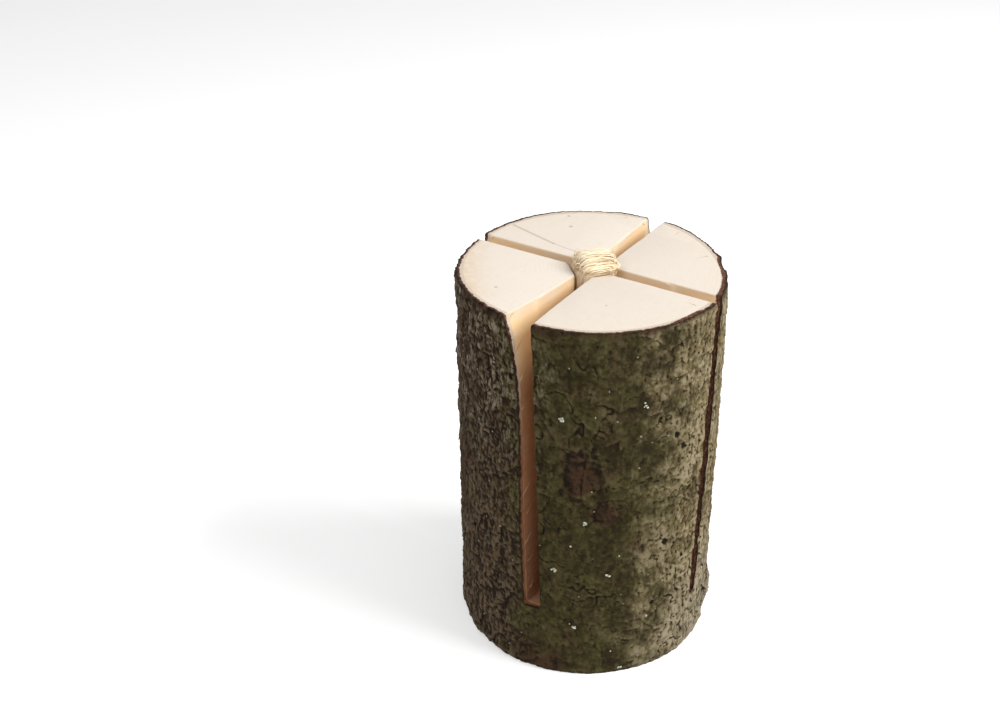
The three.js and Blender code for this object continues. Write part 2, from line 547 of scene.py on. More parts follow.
def read_points(piece: Piece) -> Array:
    """Gives a mesh's points as rows of x, y and z.

    Args:
        piece: The object.

    Returns:
        The points.
    """
    points = np.empty(len(piece.data.vertices) * 3)
    piece.data.vertices.foreach_get("co", points)
    return points.reshape(-1, 3)


def write_points(piece: Piece, points: Array) -> None:
    """Puts points back in a mesh."""
    piece.data.vertices.foreach_set("co", points.astype(np.float32).ravel())
    piece.data.update()


def write_number(piece: Piece, name: str, values: Array) -> None:
    """Stores one number a point on a mesh, for its material to read."""
    layer = piece.data.attributes.new(name, "FLOAT", "POINT")
    layer.data.foreach_set("value", values.astype(np.float32))


def named(name: str) -> Piece:
    """Names the active object and its mesh, and returns it.

    Args:
        name: The name.

    Returns:
        The object.
    """
    piece = bpy.context.active_object
    piece.name = name
    piece.data.name = name
    return piece


def block(name: str, size: tuple, middle: tuple, cuts: tuple) -> Piece:
    """Adds a block and cuts its edges into rows along each axis.

    Args:
        name: The object's name.
        size: Its lengths along X, Y and Z.
        middle: Its middle.
        cuts: How many cuts go across each axis's edges.

    Returns:
        The block.
    """
    clear_selection()
    bpy.ops.mesh.primitive_cube_add(size=1, location=middle, scale=size)
    bpy.ops.object.transform_apply(location=True, rotation=True, scale=True)
    piece = named(name)
    for axis, count in enumerate(cuts):
        cut_rows(piece, axis, count)
    return piece


def post(name: str, sides: int, low: float, high: float, cuts: int) -> Piece:
    """Adds an upright cylinder of radius 1 about Z, cut into level rows.

    Args:
        name: The object's name.
        sides: How many sides it has.
        low: Its foot's height.
        high: Its top's height.
        cuts: How many level cuts it gets.

    Returns:
        The cylinder.
    """
    clear_selection()
    middle = (0, 0, (low + high) / 2)
    bpy.ops.mesh.primitive_cylinder_add(vertices=sides, radius=1, depth=high - low, location=middle)
    bpy.ops.object.transform_apply(location=True, rotation=True, scale=True)
    piece = named(name)
    cut_rows(piece, 2, cuts)
    return piece


def rounds(count: int) -> Iterator[int]:
    """Parts a number of cuts into rounds that subdividing can take.

    Args:
        count: How many cuts an edge gets in all.

    Yields:
        How many cuts each edge gets in one round.
    """
    while count > MOST_CUTS:
        yield 1
        count = (count - 1) // 2
    if count > 0:
        yield count


def edge_ends(piece: Piece) -> Array:
    """Gives the numbers of each edge's two points, as rows.

    Args:
        piece: The object.

    Returns:
        The numbers.
    """
    ends = np.empty(len(piece.data.edges) * 2, np.int64)
    piece.data.edges.foreach_get("vertices", ends)
    return ends.reshape(-1, 2)


def pick(piece: Piece, kind: str, chosen: Array) -> None:
    """Opens a mesh for editing with some of its edges or faces selected.

    Args:
        piece: The object.
        kind: EDGE or FACE.
        chosen: Which ones are selected.
    """
    make_active(piece)
    bpy.ops.object.mode_set(mode="EDIT")
    bpy.ops.mesh.select_mode(type=kind)
    bpy.ops.mesh.select_all(action="DESELECT")
    bpy.ops.object.mode_set(mode="OBJECT")
    parts = piece.data.edges if kind == "EDGE" else piece.data.polygons
    parts.foreach_set("select", chosen)
    bpy.ops.object.mode_set(mode="EDIT")


def cut_edges(piece: Piece, chosen: Array, count: int) -> None:
    """Subdivides some of a mesh's edges, each by a number of cuts.

    Args:
        piece: The object.
        chosen: Which edges.
        count: How many cuts each gets.
    """
    pick(piece, "EDGE", chosen)
    bpy.ops.mesh.subdivide(number_cuts=count)
    bpy.ops.object.mode_set(mode="OBJECT")


def cut_rows(piece: Piece, axis: int, count: int) -> None:
    """Subdivides the edges that run along an axis.

    Args:
        piece: The object.
        axis: 0, 1 or 2.
        count: How many cuts each such edge gets.
    """
    for part in rounds(count):
        points, ends = read_points(piece), edge_ends(piece)
        way = np.abs(points[ends[:, 1]] - points[ends[:, 0]])
        cut_edges(piece, way[:, axis] > 0.98 * np.linalg.norm(way, axis=1), part)


def face_outwards(piece: Piece) -> None:
    """Turns a closed mesh's faces so that they all point outwards.

    Args:
        piece: The object.
    """
    make_active(piece)
    bpy.ops.object.mode_set(mode="EDIT")
    bpy.ops.mesh.select_all(action="SELECT")
    bpy.ops.mesh.normals_make_consistent(inside=False)
    bpy.ops.object.mode_set(mode="OBJECT")


def copied(blank: Piece) -> Piece:
    """Copies an object, with a mesh of its own.

    Args:
        blank: The object.

    Returns:
        The copy.
    """
    copy = blank.copy()
    copy.data = blank.data.copy()
    bpy.context.scene.collection.objects.link(copy)
    return copy


def subtract(piece: Piece, cutter: Piece) -> None:
    """Cuts one solid out of another.

    Args:
        piece: What is cut.
        cutter: The solid that is taken out; it is left as it is.
    """
    make_active(piece)
    cut = piece.modifiers.new("cut", "BOOLEAN")
    cut.operation = "DIFFERENCE"
    cut.solver = "MANIFOLD"
    cut.object = cutter
    bpy.ops.object.modifier_apply(modifier=cut.name)


def join(name: str, pieces: list[Piece]) -> Piece:
    """Joins objects into one.

    Args:
        name: The joined object's name.
        pieces: The objects.

    Returns:
        The joined object.
    """
    clear_selection()
    for piece in pieces:
        piece.select_set(True)
    bpy.context.view_layer.objects.active = pieces[0]
    bpy.ops.object.join()
    return named(name)


def split_by_height(piece: Piece, levels: Iterable[float]) -> list[Piece]:
    """Parts a mesh into bands, each an object.

    Args:
        piece: The mesh.
        levels: The heights between the bands, lowest first.

    Returns:
        The bands, lowest first.
    """
    bands = []
    for level in levels:
        middles = np.empty(len(piece.data.polygons) * 3)
        piece.data.polygons.foreach_get("center", middles)
        pick(piece, "FACE", middles[2::3] < level)
        bpy.ops.mesh.separate(type="SELECTED")
        bpy.ops.object.mode_set(mode="OBJECT")
        bands += [other for other in bpy.context.selected_objects if other is not piece]
    return [*bands, piece]


def smooth(piece: Piece, degrees: float) -> None:
    """Shades a piece smooth, except over edges sharper than an angle."""
    make_active(piece)
    bpy.ops.object.shade_smooth_by_angle(angle=math.radians(degrees))


def give_materials(piece: Piece, *materials: bpy.types.Material) -> None:
    """Gives a piece these materials in place of any slots that it has.

    Args:
        piece: The piece.
        *materials: Its materials, in the order of their numbers.
    """
    piece.data.materials.clear()
    for material in materials:
        piece.data.materials.append(material)


def turned_tube(name: str, section: list[tuple], cuts: list[int], steps: int) -> Piece:
    """Turns a closed section about Z into a tube.

    Args:
        name: The object's name.
        section: Corners as radius and height, in order round the section.
        cuts: How many cuts each side of the section gets, from the first corner's side on.
        steps: How many steps make the full turn.

    Returns:
        The tube.
    """
    clear_selection()
    bpy.ops.mesh.primitive_circle_add(vertices=len(section), radius=1, fill_type="NOTHING")
    piece = named(name)
    corners = np.array([(radius, 0.0, height) for radius, height in section])
    write_points(piece, corners)
    for side, count in enumerate(cuts):
        ends = sorted({side, (side + 1) % len(section)})
        for part in rounds(count):
            cut_side(piece, corners[ends], part)
    make_active(piece)
    turn = piece.modifiers.new("turn", "SCREW")
    turn.axis = "Z"
    turn.angle = FULL
    turn.steps = steps
    turn.render_steps = steps
    turn.use_merge_vertices = True
    turn.merge_threshold = 1e-6
    bpy.ops.object.modifier_apply(modifier=turn.name)
    face_outwards(piece)
    return piece


def cut_side(piece: Piece, ends: Array, count: int) -> None:
    """Subdivides the edges that lie on the straight line between two points.

    Args:
        piece: A wire outline in the XZ plane.
        ends: The two points, as rows.
        count: How many cuts each edge on the line gets.
    """
    line = (ends[1] - ends[0]) / np.linalg.norm(ends[1] - ends[0])
    away = np.linalg.norm(np.cross(read_points(piece) - ends[0], line), axis=1)
    on_line = away < 1e-7
    cut_edges(piece, on_line[edge_ends(piece)].all(axis=1), count)


def polar(points: Array) -> tuple[Array, Array, Array]:
    """Gives the turn, from 0 to a full turn, the radius and the height of points."""
    turn = np.mod(np.arctan2(points[:, 1], points[:, 0]), FULL)
    return turn, np.hypot(points[:, 0], points[:, 1]), points[:, 2]


def from_polar(turn: Array, radius: Array, z: Array) -> Array:
    """Gives points from their turn, radius and height."""
    return np.stack([radius * np.cos(turn), radius * np.sin(turn), z], axis=1)


def keep_inside(points: Array, room: float = 1.6 * MM, spare: float = 0.05 * MM) -> Array:
    """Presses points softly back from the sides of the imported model's box.

    Args:
        points: Rows of x, y and z.
        room: How far from a side the pressing starts.
        spare: How far short of a side the points stop.

    Returns:
        The points, none outside the box's sides.
    """
    kept = points.copy()
    for axis in (0, 1):
        for side, corner in zip((-1, 1), CAD_BOX):
            start = abs(corner[axis]) - spare - room
            over = np.maximum(side * kept[:, axis] - start, 0)
            pressed = side * (start + room * np.tanh(over / room))
            kept[:, axis] = np.where(over > 0, pressed, kept[:, axis])
    return kept


def band(turn: Array, middle: float, half: float, soft: float) -> Array:
    """Is 1 in a band of turns and fades at its sides.

    Args:
        turn: Turns in radians.
        middle: The band's middle, in degrees.
        half: Half its width, in degrees.
        soft: The width of each fading side, in degrees.

    Returns:
        Numbers from 0 to 1.
    """
    away = np.degrees(turn) - middle
    away = np.abs(away - 360 * np.round(away / 360))
    return smooth_step(away, half + soft / 2, half - soft / 2)


class Graph:
    """A material's nodes, built from Python expressions."""

    def __init__(self, name: str) -> None:
        """Starts an empty material.

        Args:
            name: The material's name.
        """
        self.material = bpy.data.materials.new(name)
        self.material.use_nodes = True
        self.tree = self.material.node_tree
        self.tree.nodes.clear()

    def node(self, kind: str, settings: dict, output: int | str, **sockets: object) -> "Wire":
        """Adds a node.

        Args:
            kind: The node's type.
            settings: Its own settings, set first.
            output: Which output to return.
            **sockets: Values or links of its inputs; an underscore stands for a space, and a name
                such as in_6 for an input's number.

        Returns:
            The output.
        """
        made = self.tree.nodes.new(kind)
        for key, value in settings.items():
            setattr(made, key, value)
        for key, value in sockets.items():
            place = int(key[3:]) if key.startswith("in_") else key.replace("_", " ")
            self.feed(made.inputs[place], value)
        return Wire(self, made.outputs[output])

    def feed(self, socket: bpy.types.NodeSocket, value: object) -> None:
        """Links or sets one input.

        Args:
            socket: The input.
            value: A wire, a colour, a vector or a number.
        """
        if isinstance(value, Wire):
            self.tree.links.new(value.socket, socket)
        elif isinstance(value, tuple) and socket.type == "RGBA":
            socket.default_value = (*value, 1.0)
        else:
            socket.default_value = value

    def place(self, stretch: tuple = (1.0, 1.0, 1.0)) -> "Wire":
        """Gives the place on the object, in metres, stretched along each axis."""
        at = self.node("ShaderNodeTexCoord", {}, "Object")
        return self.node("ShaderNodeMapping", {}, 0, Vector=at, Scale=stretch)

    def number(self, name: str) -> "Wire":
        """Gives a number that the mesh stores at its points."""
        return self.node("ShaderNodeAttribute", {"attribute_name": name}, "Fac")

    def noise(self, at: "Wire", size: float, detail: float = 4, rough: float = 0.55) -> "Wire":
        """Gives noise from 0 to 1 whose lumps are about a size in metres."""
        sockets = {"Vector": at, "Scale": 1 / size, "Detail": detail, "Roughness": rough}
        return self.node("ShaderNodeTexNoise", {}, 0, **sockets)

    def cell_colour(self, at: "Wire", size: float) -> "Wire":
        """Gives a colour for each cell of a pattern whose cells are about a size in metres."""
        return self.node("ShaderNodeTexVoronoi", {"feature": "F1"}, "Color", Vector=at, Scale=1 / size)

    def mix(self, low: object, high: object, share: object) -> "Wire":
        """Mixes two colours."""
        settings = {"data_type": "RGBA", "clamp_factor": True}
        return self.node("ShaderNodeMix", settings, 2, in_0=share, in_6=low, in_7=high)

    def math(self, operation: str, first: object, second: object = 0.0) -> "Wire":
        """Adds a Math node."""
        return self.node("ShaderNodeMath", {"operation": operation}, 0, in_0=first, in_1=second)

    def vector(self, operation: str, output: int, first: object, second: object = (0, 0, 0)) -> "Wire":
        """Adds a Vector Math node."""
        return self.node("ShaderNodeVectorMath", {"operation": operation}, output, in_0=first, in_1=second)

    def distance(self, at: "Wire", centre: tuple) -> "Wire":
        """Gives the distance to a point."""
        return self.vector("DISTANCE", 1, at, centre)

    def off_line(self, at: "Wire", start: tuple, end: tuple) -> "Wire":
        """Gives the distance to a straight line between two points.

        Args:
            at: The place on the object.
            start: One point.
            end: The other.

        Returns:
            The distance.
        """
        line = Vector(end) - Vector(start)
        from_start = self.vector("SUBTRACT", 0, at, start)
        share = self.vector("DOT_PRODUCT", 1, from_start, tuple(line / line.length_squared))
        share = self.math("MINIMUM", self.math("MAXIMUM", share, 0.0), 1.0)
        along = self.node("ShaderNodeVectorMath", {"operation": "SCALE"}, 0, in_0=tuple(line), Scale=share)
        return self.vector("DISTANCE", 1, from_start, along)

    def bump(self, height: "Wire", depth: float) -> "Wire":
        """Turns a height from 0 to 1 into a normal, for a depth in metres."""
        return self.node("ShaderNodeBump", {}, 0, Height=height, Distance=depth, Strength=1.0)

    def finish(self, colour: object, roughness: object, normal: "Wire", **fixed: float) -> bpy.types.Material:
        """Adds the shader and the output.

        Args:
            colour: The base colour.
            roughness: The roughness.
            normal: The bumped normal.
            **fixed: Other inputs, the same all over.

        Returns:
            The material.
        """
        sockets = {"Base_Color": colour, "Roughness": roughness, "Normal": normal, **fixed}
        shader = self.node("ShaderNodeBsdfPrincipled", {}, 0, **sockets)
        output = self.tree.nodes.new("ShaderNodeOutputMaterial")
        self.feed(output.inputs["Surface"], shader)
        return self.material


class Wire:
    """An output socket with arithmetic: each operator adds a Math node."""

    def __init__(self, graph: Graph, socket: bpy.types.NodeSocket) -> None:
        """Wraps a socket."""
        self.graph = graph
        self.socket = socket

    def __add__(self, other: object) -> "Wire":
        """Adds."""
        return self.graph.math("ADD", self, other)

    __radd__ = __add__

    def __mul__(self, other: object) -> "Wire":
        """Multiplies."""
        return self.graph.math("MULTIPLY", self, other)

    __rmul__ = __mul__

    def __sub__(self, other: object) -> "Wire":
        """Subtracts."""
        return self.graph.math("SUBTRACT", self, other)

    def __rsub__(self, other: object) -> "Wire":
        """Subtracts from a number."""
        return self.graph.math("SUBTRACT", other, self)

    def __pow__(self, other: object) -> "Wire":
        """Raises to a power."""
        return self.graph.math("POWER", self, other)

    def __abs__(self) -> "Wire":
        """Gives the size without the sign."""
        return self.graph.math("ABSOLUTE", self)

    def fraction(self) -> "Wire":
        """Gives what is past the last whole number."""
        return self.graph.math("FRACT", self)

    def step(self, low: float, high: float) -> "Wire":
        """Rises smoothly from 0 at low to 1 at high.

        Args:
            low: Where it starts.
            high: Where it ends; below low for a falling step.

        Returns:
            A number from 0 to 1.
        """
        settings = {"interpolation_type": "SMOOTHSTEP", "clamp": True}
        ends = {"From_Min": min(low, high), "From_Max": max(low, high)}
        risen = self.graph.node("ShaderNodeMapRange", settings, 0, Value=self, **ends)
        return 1 - risen if low > high else risen

    def part(self, axis: str) -> "Wire":
        """Gives one part of a vector."""
        return self.graph.node("ShaderNodeSeparateXYZ", {}, axis, Vector=self)


class BarkWires:
    """The patterns and the stored numbers that the bark's colours are mixed by."""

    def __init__(self, graph: Graph) -> None:
        """Adds their nodes.

        Args:
            graph: The bark's material.
        """
        self.at = graph.place()
        self.speckle = graph.noise(self.at, 2.6 * MM, 5, 0.68)
        self.fibres = graph.noise(graph.place((1.0, 1.0, 0.42)), 1.9 * MM, 4, 0.6)
        self.grit = graph.noise(self.at, 0.8 * MM, 3, 0.6)
        self.streak = graph.noise(graph.place((1.0, 1.0, 0.22)), 5 * MM, 4, 0.65)
        self.scale_tone = graph.cell_colour(self.at, 4.2 * MM).part("X")
        self.seam, self.tone, self.hollow = graph.number("seam"), graph.number("tone"), graph.number("hollow")
        self.olive, self.dry, self.rough = graph.number("olive"), graph.number("dry"), graph.number("rough")
        self.blotch, self.red = graph.number("blotch"), graph.number("red")
        self.crust = graph.number("lichen")
        smear = graph.noise(graph.place((1.0, 1.0, 0.55)), 10 * MM, 3, 0.6)
        # Painted shade: the mix below is darker in the relief's hollows.
        shade = 0.40 * self.tone + 0.15 * self.scale_tone + 0.9 * self.speckle
        shade = shade + 0.35 * self.blotch + 0.7 * smear - 0.8 * self.hollow - 0.30 - self.rough * 0.10
        self.shade = shade + (self.streak - 0.5) * self.rough * 1.3


@dataclass(frozen=True)
class BarkFinish:
    """The bark's weathered outside."""

    # Painted shade colour for the relief's gaps, cracks and hollows
    crevice_shade: Colour = (0.009, 0.005, 0.003)
    brown_dark: Colour = (0.017, 0.0095, 0.0045)
    brown: Colour = (0.052, 0.031, 0.014)
    grey: Colour = (0.145, 0.107, 0.068)
    pale_flake_and_highlight: Colour = (0.25, 0.215, 0.165)
    olive_dark: Colour = (0.019, 0.0145, 0.004)
    olive: Colour = (0.039, 0.0325, 0.009)
    olive_light: Colour = (0.080, 0.068, 0.024)
    dry_dark: Colour = (0.070, 0.052, 0.022)
    dry: Colour = (0.165, 0.128, 0.060)
    dry_light: Colour = (0.32, 0.265, 0.165)
    dusty: Colour = (0.34, 0.30, 0.235)
    red: Colour = (0.050, 0.024, 0.012)
    lichen: Colour = (0.36, 0.36, 0.29)

    def material(self) -> bpy.types.Material:
        """Builds the material.

        Returns:
            The material.
        """
        graph = Graph("bark_outside")
        wires = BarkWires(graph)
        speckle = wires.speckle
        colour = self.weathered(graph, wires, self.grown(graph, wires))
        # Painted shade: the bark turns near black in the scales' gaps, cracks, pits and the relief's hollows.
        shadow = (wires.seam * 0.8 + (wires.hollow - 0.55) * 1.5 + (0.5 - speckle) * 0.5).step(0.15, 0.95)
        colour = graph.mix(colour, self.crevice_shade, shadow * 0.9)
        crust = (wires.crust * 1.1 + wires.grit * 0.7 - 0.5).step(0.3, 0.7)
        colour = graph.mix(colour, self.lichen, crust * 0.9)
        height = 0.5 * speckle + 0.35 * wires.fibres + 0.3 * wires.grit + 0.12 * wires.scale_tone
        normal = graph.bump(height, 2.2 * MM)
        return graph.finish(colour, 0.78 + 0.2 * speckle, normal, Specular_IOR_Level=0.10)

    def grown(self, graph: Graph, wires: BarkWires) -> Wire:
        """Mixes brown bark, its mossy film and dry bark.

        Args:
            graph: The material.
            wires: Its patterns and numbers.

        Returns:
            The colour.
        """
        shade, tone = wires.shade, wires.tone
        brown = graph.mix(self.brown_dark, self.brown, shade.step(0.15, 0.85))
        mossy = graph.mix(self.olive_dark, self.olive, shade.step(0.12, 0.75))
        mossy = graph.mix(mossy, self.olive_light, shade.step(0.50, 1.05) * 0.6)
        parched = graph.mix(self.dry_dark, self.dry, shade.step(0.20, 0.62))
        parched = graph.mix(parched, self.dry_light, shade.step(0.55, 0.92) * 0.85)
        bare = graph.noise(wires.at, 22 * MM, 3, 0.6).step(0.46, 0.66)
        film = (wires.olive * 1.25 + wires.blotch * 0.35 + tone * 0.3 - 0.4).step(0.05, 0.8)
        colour = graph.mix(brown, mossy, film * (1 - bare * 0.5))
        # Painted shade: less of the dry colour shows in the hollows.
        bleached = wires.dry * 1.3 + tone * 0.12 + wires.fibres * 0.35 - wires.hollow * 0.15 - 0.25
        return graph.mix(colour, parched, bleached.step(0.0, 1.0))

    def weathered(self, graph: Graph, wires: BarkWires, colour: Wire) -> Wire:
        """Adds dust at the foot, grey on raised places that is partly wear and partly painted highlight,
        silvery flakes that are partly painted highlight, and red-brown patches.

        Args:
            graph: The material.
            wires: Its patterns and numbers.
            colour: The colour so far.

        Returns:
            The colour.
        """
        level, fibres, hollow, rough = wires.at.part("Z"), wires.fibres, wires.hollow, wires.rough
        dust = (level.step(170 * MM, 20 * MM) * wires.dry).step(0.2, 1.0) * (0.8 - hollow).step(0.0, 0.5)
        colour = graph.mix(colour, self.dusty, dust * 0.5)
        # Partly wear and partly painted highlight: raised places away from the hollows turn grey.
        raised_wear_and_highlight = (0.9 - hollow) * 0.9 + fibres * 0.8 + wires.scale_tone * 0.25 + rough * 0.3 - 1.05
        colour = graph.mix(colour, self.grey, raised_wear_and_highlight.step(0.0, 0.45) * (0.05 + 0.38 * rough))
        # Pale flakes, partly painted highlight, more of them towards the top.
        silvery_flakes_and_highlight = (wires.tone * 0.5 + wires.streak * 0.9).step(0.62, 0.85) * fibres.step(0.42, 0.6)
        silvery_flakes_and_highlight = silvery_flakes_and_highlight * (0.75 - hollow).step(0.0, 0.35)
        aloft = level.step(140 * MM, 270 * MM)
        colour = graph.mix(colour, self.pale_flake_and_highlight, silvery_flakes_and_highlight * rough * (0.12 + 0.8 * aloft))
        rusty = (wires.red * 1.1 + wires.speckle * 0.9 - 0.5).step(0.05, 0.95)
        red = graph.mix(self.brown_dark, self.red, wires.shade.step(0.1, 0.8))
        return graph.mix(colour, red, rusty * 0.9)


@dataclass(frozen=True)
class CutBarkFinish:
    """Bark in section: pale inside, with red-brown and dark layers outwards."""

    inside: Colour = (0.66, 0.56, 0.45)
    inside_shaded_low: Colour = (0.30, 0.135, 0.055)
    middle: Colour = (0.085, 0.034, 0.019)
    rust: Colour = (0.30, 0.165, 0.10)
    outside: Colour = (0.022, 0.011, 0.007)
    height: float = 0.3

    def material(self) -> bpy.types.Material:
        """Builds the material.

        Returns:
            The material.
        """
        graph = Graph("bark_in_section")
        at = graph.place()
        wobble = graph.noise(at, 4 * MM, 3) * 0.5 - 0.25
        layers = graph.noise(graph.place((1.0, 1.0, 0.3)), 1.1 * MM, 4, 0.65)
        depth = graph.number("depth") + wobble * 0.9 + (layers - 0.5) * 0.5
        colour = graph.mix(self.outside, self.middle, (depth + layers * 0.3 - 0.15).step(0.05, 0.5))
        crumbs = (layers + wobble * 0.6).step(0.50, 0.62) * depth.step(0.15, 0.5)
        colour = graph.mix(colour, self.rust, crumbs * 0.55)
        # The dark layers include painted shade in the cut at the right.
        pale = (depth - graph.number("dark_layers_and_shade")).step(0.0, 0.15)
        # Painted shade: the pale inner layer darkens down the cuts.
        level = (at.part("Z") + wobble * 30 * MM).step(self.height - 130 * MM, self.height - 4 * MM)
        colour = graph.mix(colour, graph.mix(self.inside_shaded_low, self.inside, level), pale * 0.9)
        normal = graph.bump(layers, 0.8 * MM)
        return graph.finish(colour, 0.88, normal, Specular_IOR_Level=0.2)


@dataclass(frozen=True)
class WoodFinish:
    """Sawn softwood: pale end grain, and walls with painted light at the top and painted shade that darkens
    them down the cuts.
    """

    cream: Colour = (0.70, 0.63, 0.55)
    late_ring: Colour = (0.66, 0.555, 0.44)
    peach: Colour = (0.66, 0.50, 0.34)
    tan: Colour = (0.80, 0.565, 0.31)
    edge_highlight: Colour = (0.80, 0.56, 0.32)
    orange: Colour = (0.41, 0.185, 0.068)
    # Painted shade for the bottom of the cuts
    deep: Colour = (0.275, 0.110, 0.040)
    stain: Colour = (0.26, 0.17, 0.10)
    height: float = 0.3
    spots: tuple = ((36.6, -46.1, 0.9), (-41.4, -62.9, 1.3), (-47.4, 51.4, 1.6), (-58.4, 67.4, 1.4))
    traces: tuple = ((-85.7, 30.8, -43.3, 18.6, 1.5), (-43.3, 18.6, -20, 15, 0.7))

    def material(self) -> bpy.types.Material:
        """Builds the material.

        Returns:
            The material.
        """
        graph = Graph("sawn_wood")
        at = graph.place()
        cloud = graph.noise(at, 38 * MM, 3)
        mottle = graph.noise(at, 5 * MM, 4, 0.6)
        pores = graph.noise(at, 0.45 * MM, 3, 0.6)
        saw = graph.noise(graph.place((0.12, 0.12, 1.0)), 1.1 * MM, 4, 0.6)
        fibre = graph.noise(graph.place((1.0, 1.0, 0.06)), 0.8 * MM, 4, 0.6)
        level = at.part("Z")
        from_pith = (at.part("X") ** 2 + at.part("Y") ** 2) ** 0.5
        end = self.end_grain(graph, at, from_pith, cloud, mottle)
        end = graph.mix(end, self.stain, self.marks(graph, at, pores))
        up = graph.node("ShaderNodeNewGeometry", {}, "Normal").part("Z")
        flat = abs(up).step(0.55, 0.85)
        turned = level + (from_pith - 84 * MM) * 0.7 + cloud * 12 * MM + mottle * 6 * MM
        # Painted highlight on the steps that the saw left in the walls.
        ledge = turned * (1 / (23 * MM))
        ledge = abs(ledge.fraction() - 0.5).step(0.075, 0.015)
        ledge = ledge * graph.noise(at, 16 * MM, 2).step(0.44, 0.56)
        ledge = ledge * (from_pith.step(80 * MM, 90 * MM) * (1 - flat))
        wall = self.wall(graph, level + cloud * 24 * MM - 12 * MM)
        wall = graph.mix(wall, self.edge_highlight, ledge * 0.75)
        # Painted highlight along the walls' outer edge, next to the bark.
        wall = graph.mix(wall, self.edge_highlight, (from_pith + mottle * 3 * MM).step(93 * MM, 96 * MM) * 0.4)
        streak = (saw * 0.7 + fibre * 0.6 - 0.3).step(0.1, 0.65)
        wall = graph.mix(wall, self.cream, streak * 0.16)
        sawn_ends = level.step(self.height - 40 * MM, self.height - 30 * MM) + level.step(20 * MM, 10 * MM)
        colour = graph.mix(wall, end, flat * sawn_ends)
        height = saw * 0.6 + pores * 0.4 + fibre * 0.2
        normal = graph.bump(height + ledge * 2, 0.35 * MM)
        return graph.finish(colour, 0.62 + 0.2 * cloud, normal, Specular_IOR_Level=0.2)

    def end_grain(self, graph: Graph, at: Wire, from_pith: Wire, cloud: Wire, mottle: Wire) -> Wire:
        """Mixes the rings, the saw's stripes and the peach-coloured sapwood of the sawn ends.

        Args:
            graph: The material.
            at: The place on the object.
            from_pith: The distance from the upright axis.
            cloud: Broad noise.
            mottle: Finer noise.

        Returns:
            The colour.
        """
        ring = from_pith * (1 / (3.1 * MM)) + cloud * 4.2
        ring = abs(ring.fraction() - 0.5) * 2
        late = ring.step(0.60, 0.98) * (0.06 + 0.34 * cloud.step(0.42, 0.66))
        end = graph.mix(self.cream, self.late_ring, late)
        stripes = graph.noise(graph.place((1.0, 0.07, 1.0)), 1.4 * MM, 3, 0.6)
        end = graph.mix(end, self.late_ring, (stripes * 0.8 + mottle * 0.8 - 0.62).step(0.1, 0.5) * 0.35)
        left_rim = (0 - at.part("X") * 6.0 - at.part("Y") * 4.2 + cloud * 0.5).step(0.72, 1.0)
        sapwood = from_pith.step(66 * MM, 94 * MM) * (0.10 + left_rim) * mottle.step(0.25, 0.6)
        return graph.mix(end, self.peach, sapwood * 0.85)

    def wall(self, graph: Graph, down: Wire) -> Wire:
        """Mixes the cuts' walls, pale at the top and darker on the way down, as painted light and shade.

        Args:
            graph: The material.
            down: The height, made uneven.

        Returns:
            The colour.
        """
        top = self.height
        # Painted light and shade: cream at the top of the cuts, then tan, orange and deep brown further down.
        wall = graph.mix(self.orange, self.tan, down.step(top - 66 * MM, top - 20 * MM))
        wall = graph.mix(self.deep, wall, down.step(top - 210 * MM, top - 90 * MM))
        return graph.mix(wall, self.cream, down.step(top - 10 * MM, top) * 0.45)

    def marks(self, graph: Graph, at: Wire, ragged: Wire) -> Wire:
        """Adds up the small dark spots and the traces of branches on the end grain.

        Args:
            graph: The material.
            at: The place on the object.
            ragged: Noise that breaks the marks' edges.

        Returns:
            The share of stain.
        """
        total = ragged * 0
        for x, y, size in self.spots:
            away = graph.distance(at, (x * MM, y * MM, self.height)) + ragged * size * MM
            total = total + away.step(1.9 * size * MM, 0.7 * size * MM) * 0.55
        for x0, y0, x1, y1, size in self.traces:
            ends = (x0 * MM, y0 * MM, self.height), (x1 * MM, y1 * MM, self.height)
            away = graph.off_line(at, *ends) + ragged * size * MM
            total = total + away.step(1.8 * size * MM, 0.5 * size * MM) * 0.42
        return total


@dataclass(frozen=True)
class WickFinish:
    """Wood wool: pale straw strands, browner low in the hole and inside the hank as painted shade, and at the
    curled ends.
    """

    pale: Colour = (0.93, 0.81, 0.61)
    straw: Colour = (0.86, 0.68, 0.43)
    brown: Colour = (0.40, 0.22, 0.10)

    def material(self) -> bpy.types.Material:
        """Builds the material.

        Returns:
            The material.
        """
        graph = Graph("wood_wool")
        at = graph.place()
        tone = graph.number("tone")
        fine = graph.noise(at, 1.2 * MM, 3)
        colour = graph.mix(self.straw, self.pale, (tone * 0.8 + fine * 0.5).step(0.2, 0.85))
        # Painted shade low in the hole and inside the hank; the curled ends are brown too.
        colour = graph.mix(colour, self.brown, graph.number("deep") * 0.8)
        normal = graph.bump(fine, 0.25 * MM)
        return graph.finish(colour, 0.55, normal, Specular_IOR_Level=0.35)


@dataclass(frozen=True)
class LichenFinish:
    """Pale crumbs of lichen."""

    pale: Colour = (0.62, 0.64, 0.54)
    green: Colour = (0.30, 0.34, 0.24)

    def material(self) -> bpy.types.Material:
        """Builds the material.

        Returns:
            The material.
        """
        graph = Graph("lichen_crust")
        grain = graph.noise(graph.place(), 0.9 * MM, 4, 0.65)
        colour = graph.mix(self.green, self.pale, grain.step(0.35, 0.6))
        normal = graph.bump(grain, 0.7 * MM)
        return graph.finish(colour, 0.9, normal, Specular_IOR_Level=0.2)


@dataclass(frozen=True)
class ScaleLayer:
    """One layer of the bark's scales.

    Attributes:
        around: How many scales go round.
        tall: A scale's height.
        seed: Which scatter.
        depths: Its relief in millimetres on mossy bark, and what dry and rough bark add to it.
    """

    around: int
    tall: float
    seed: int
    depths: tuple

    def depth(self, dry: Array, rough: Array) -> Array:
        """Gives the layer's relief in millimetres."""
        mossy, on_dry, on_rough = self.depths
        return mossy + on_dry * dry + on_rough * rough


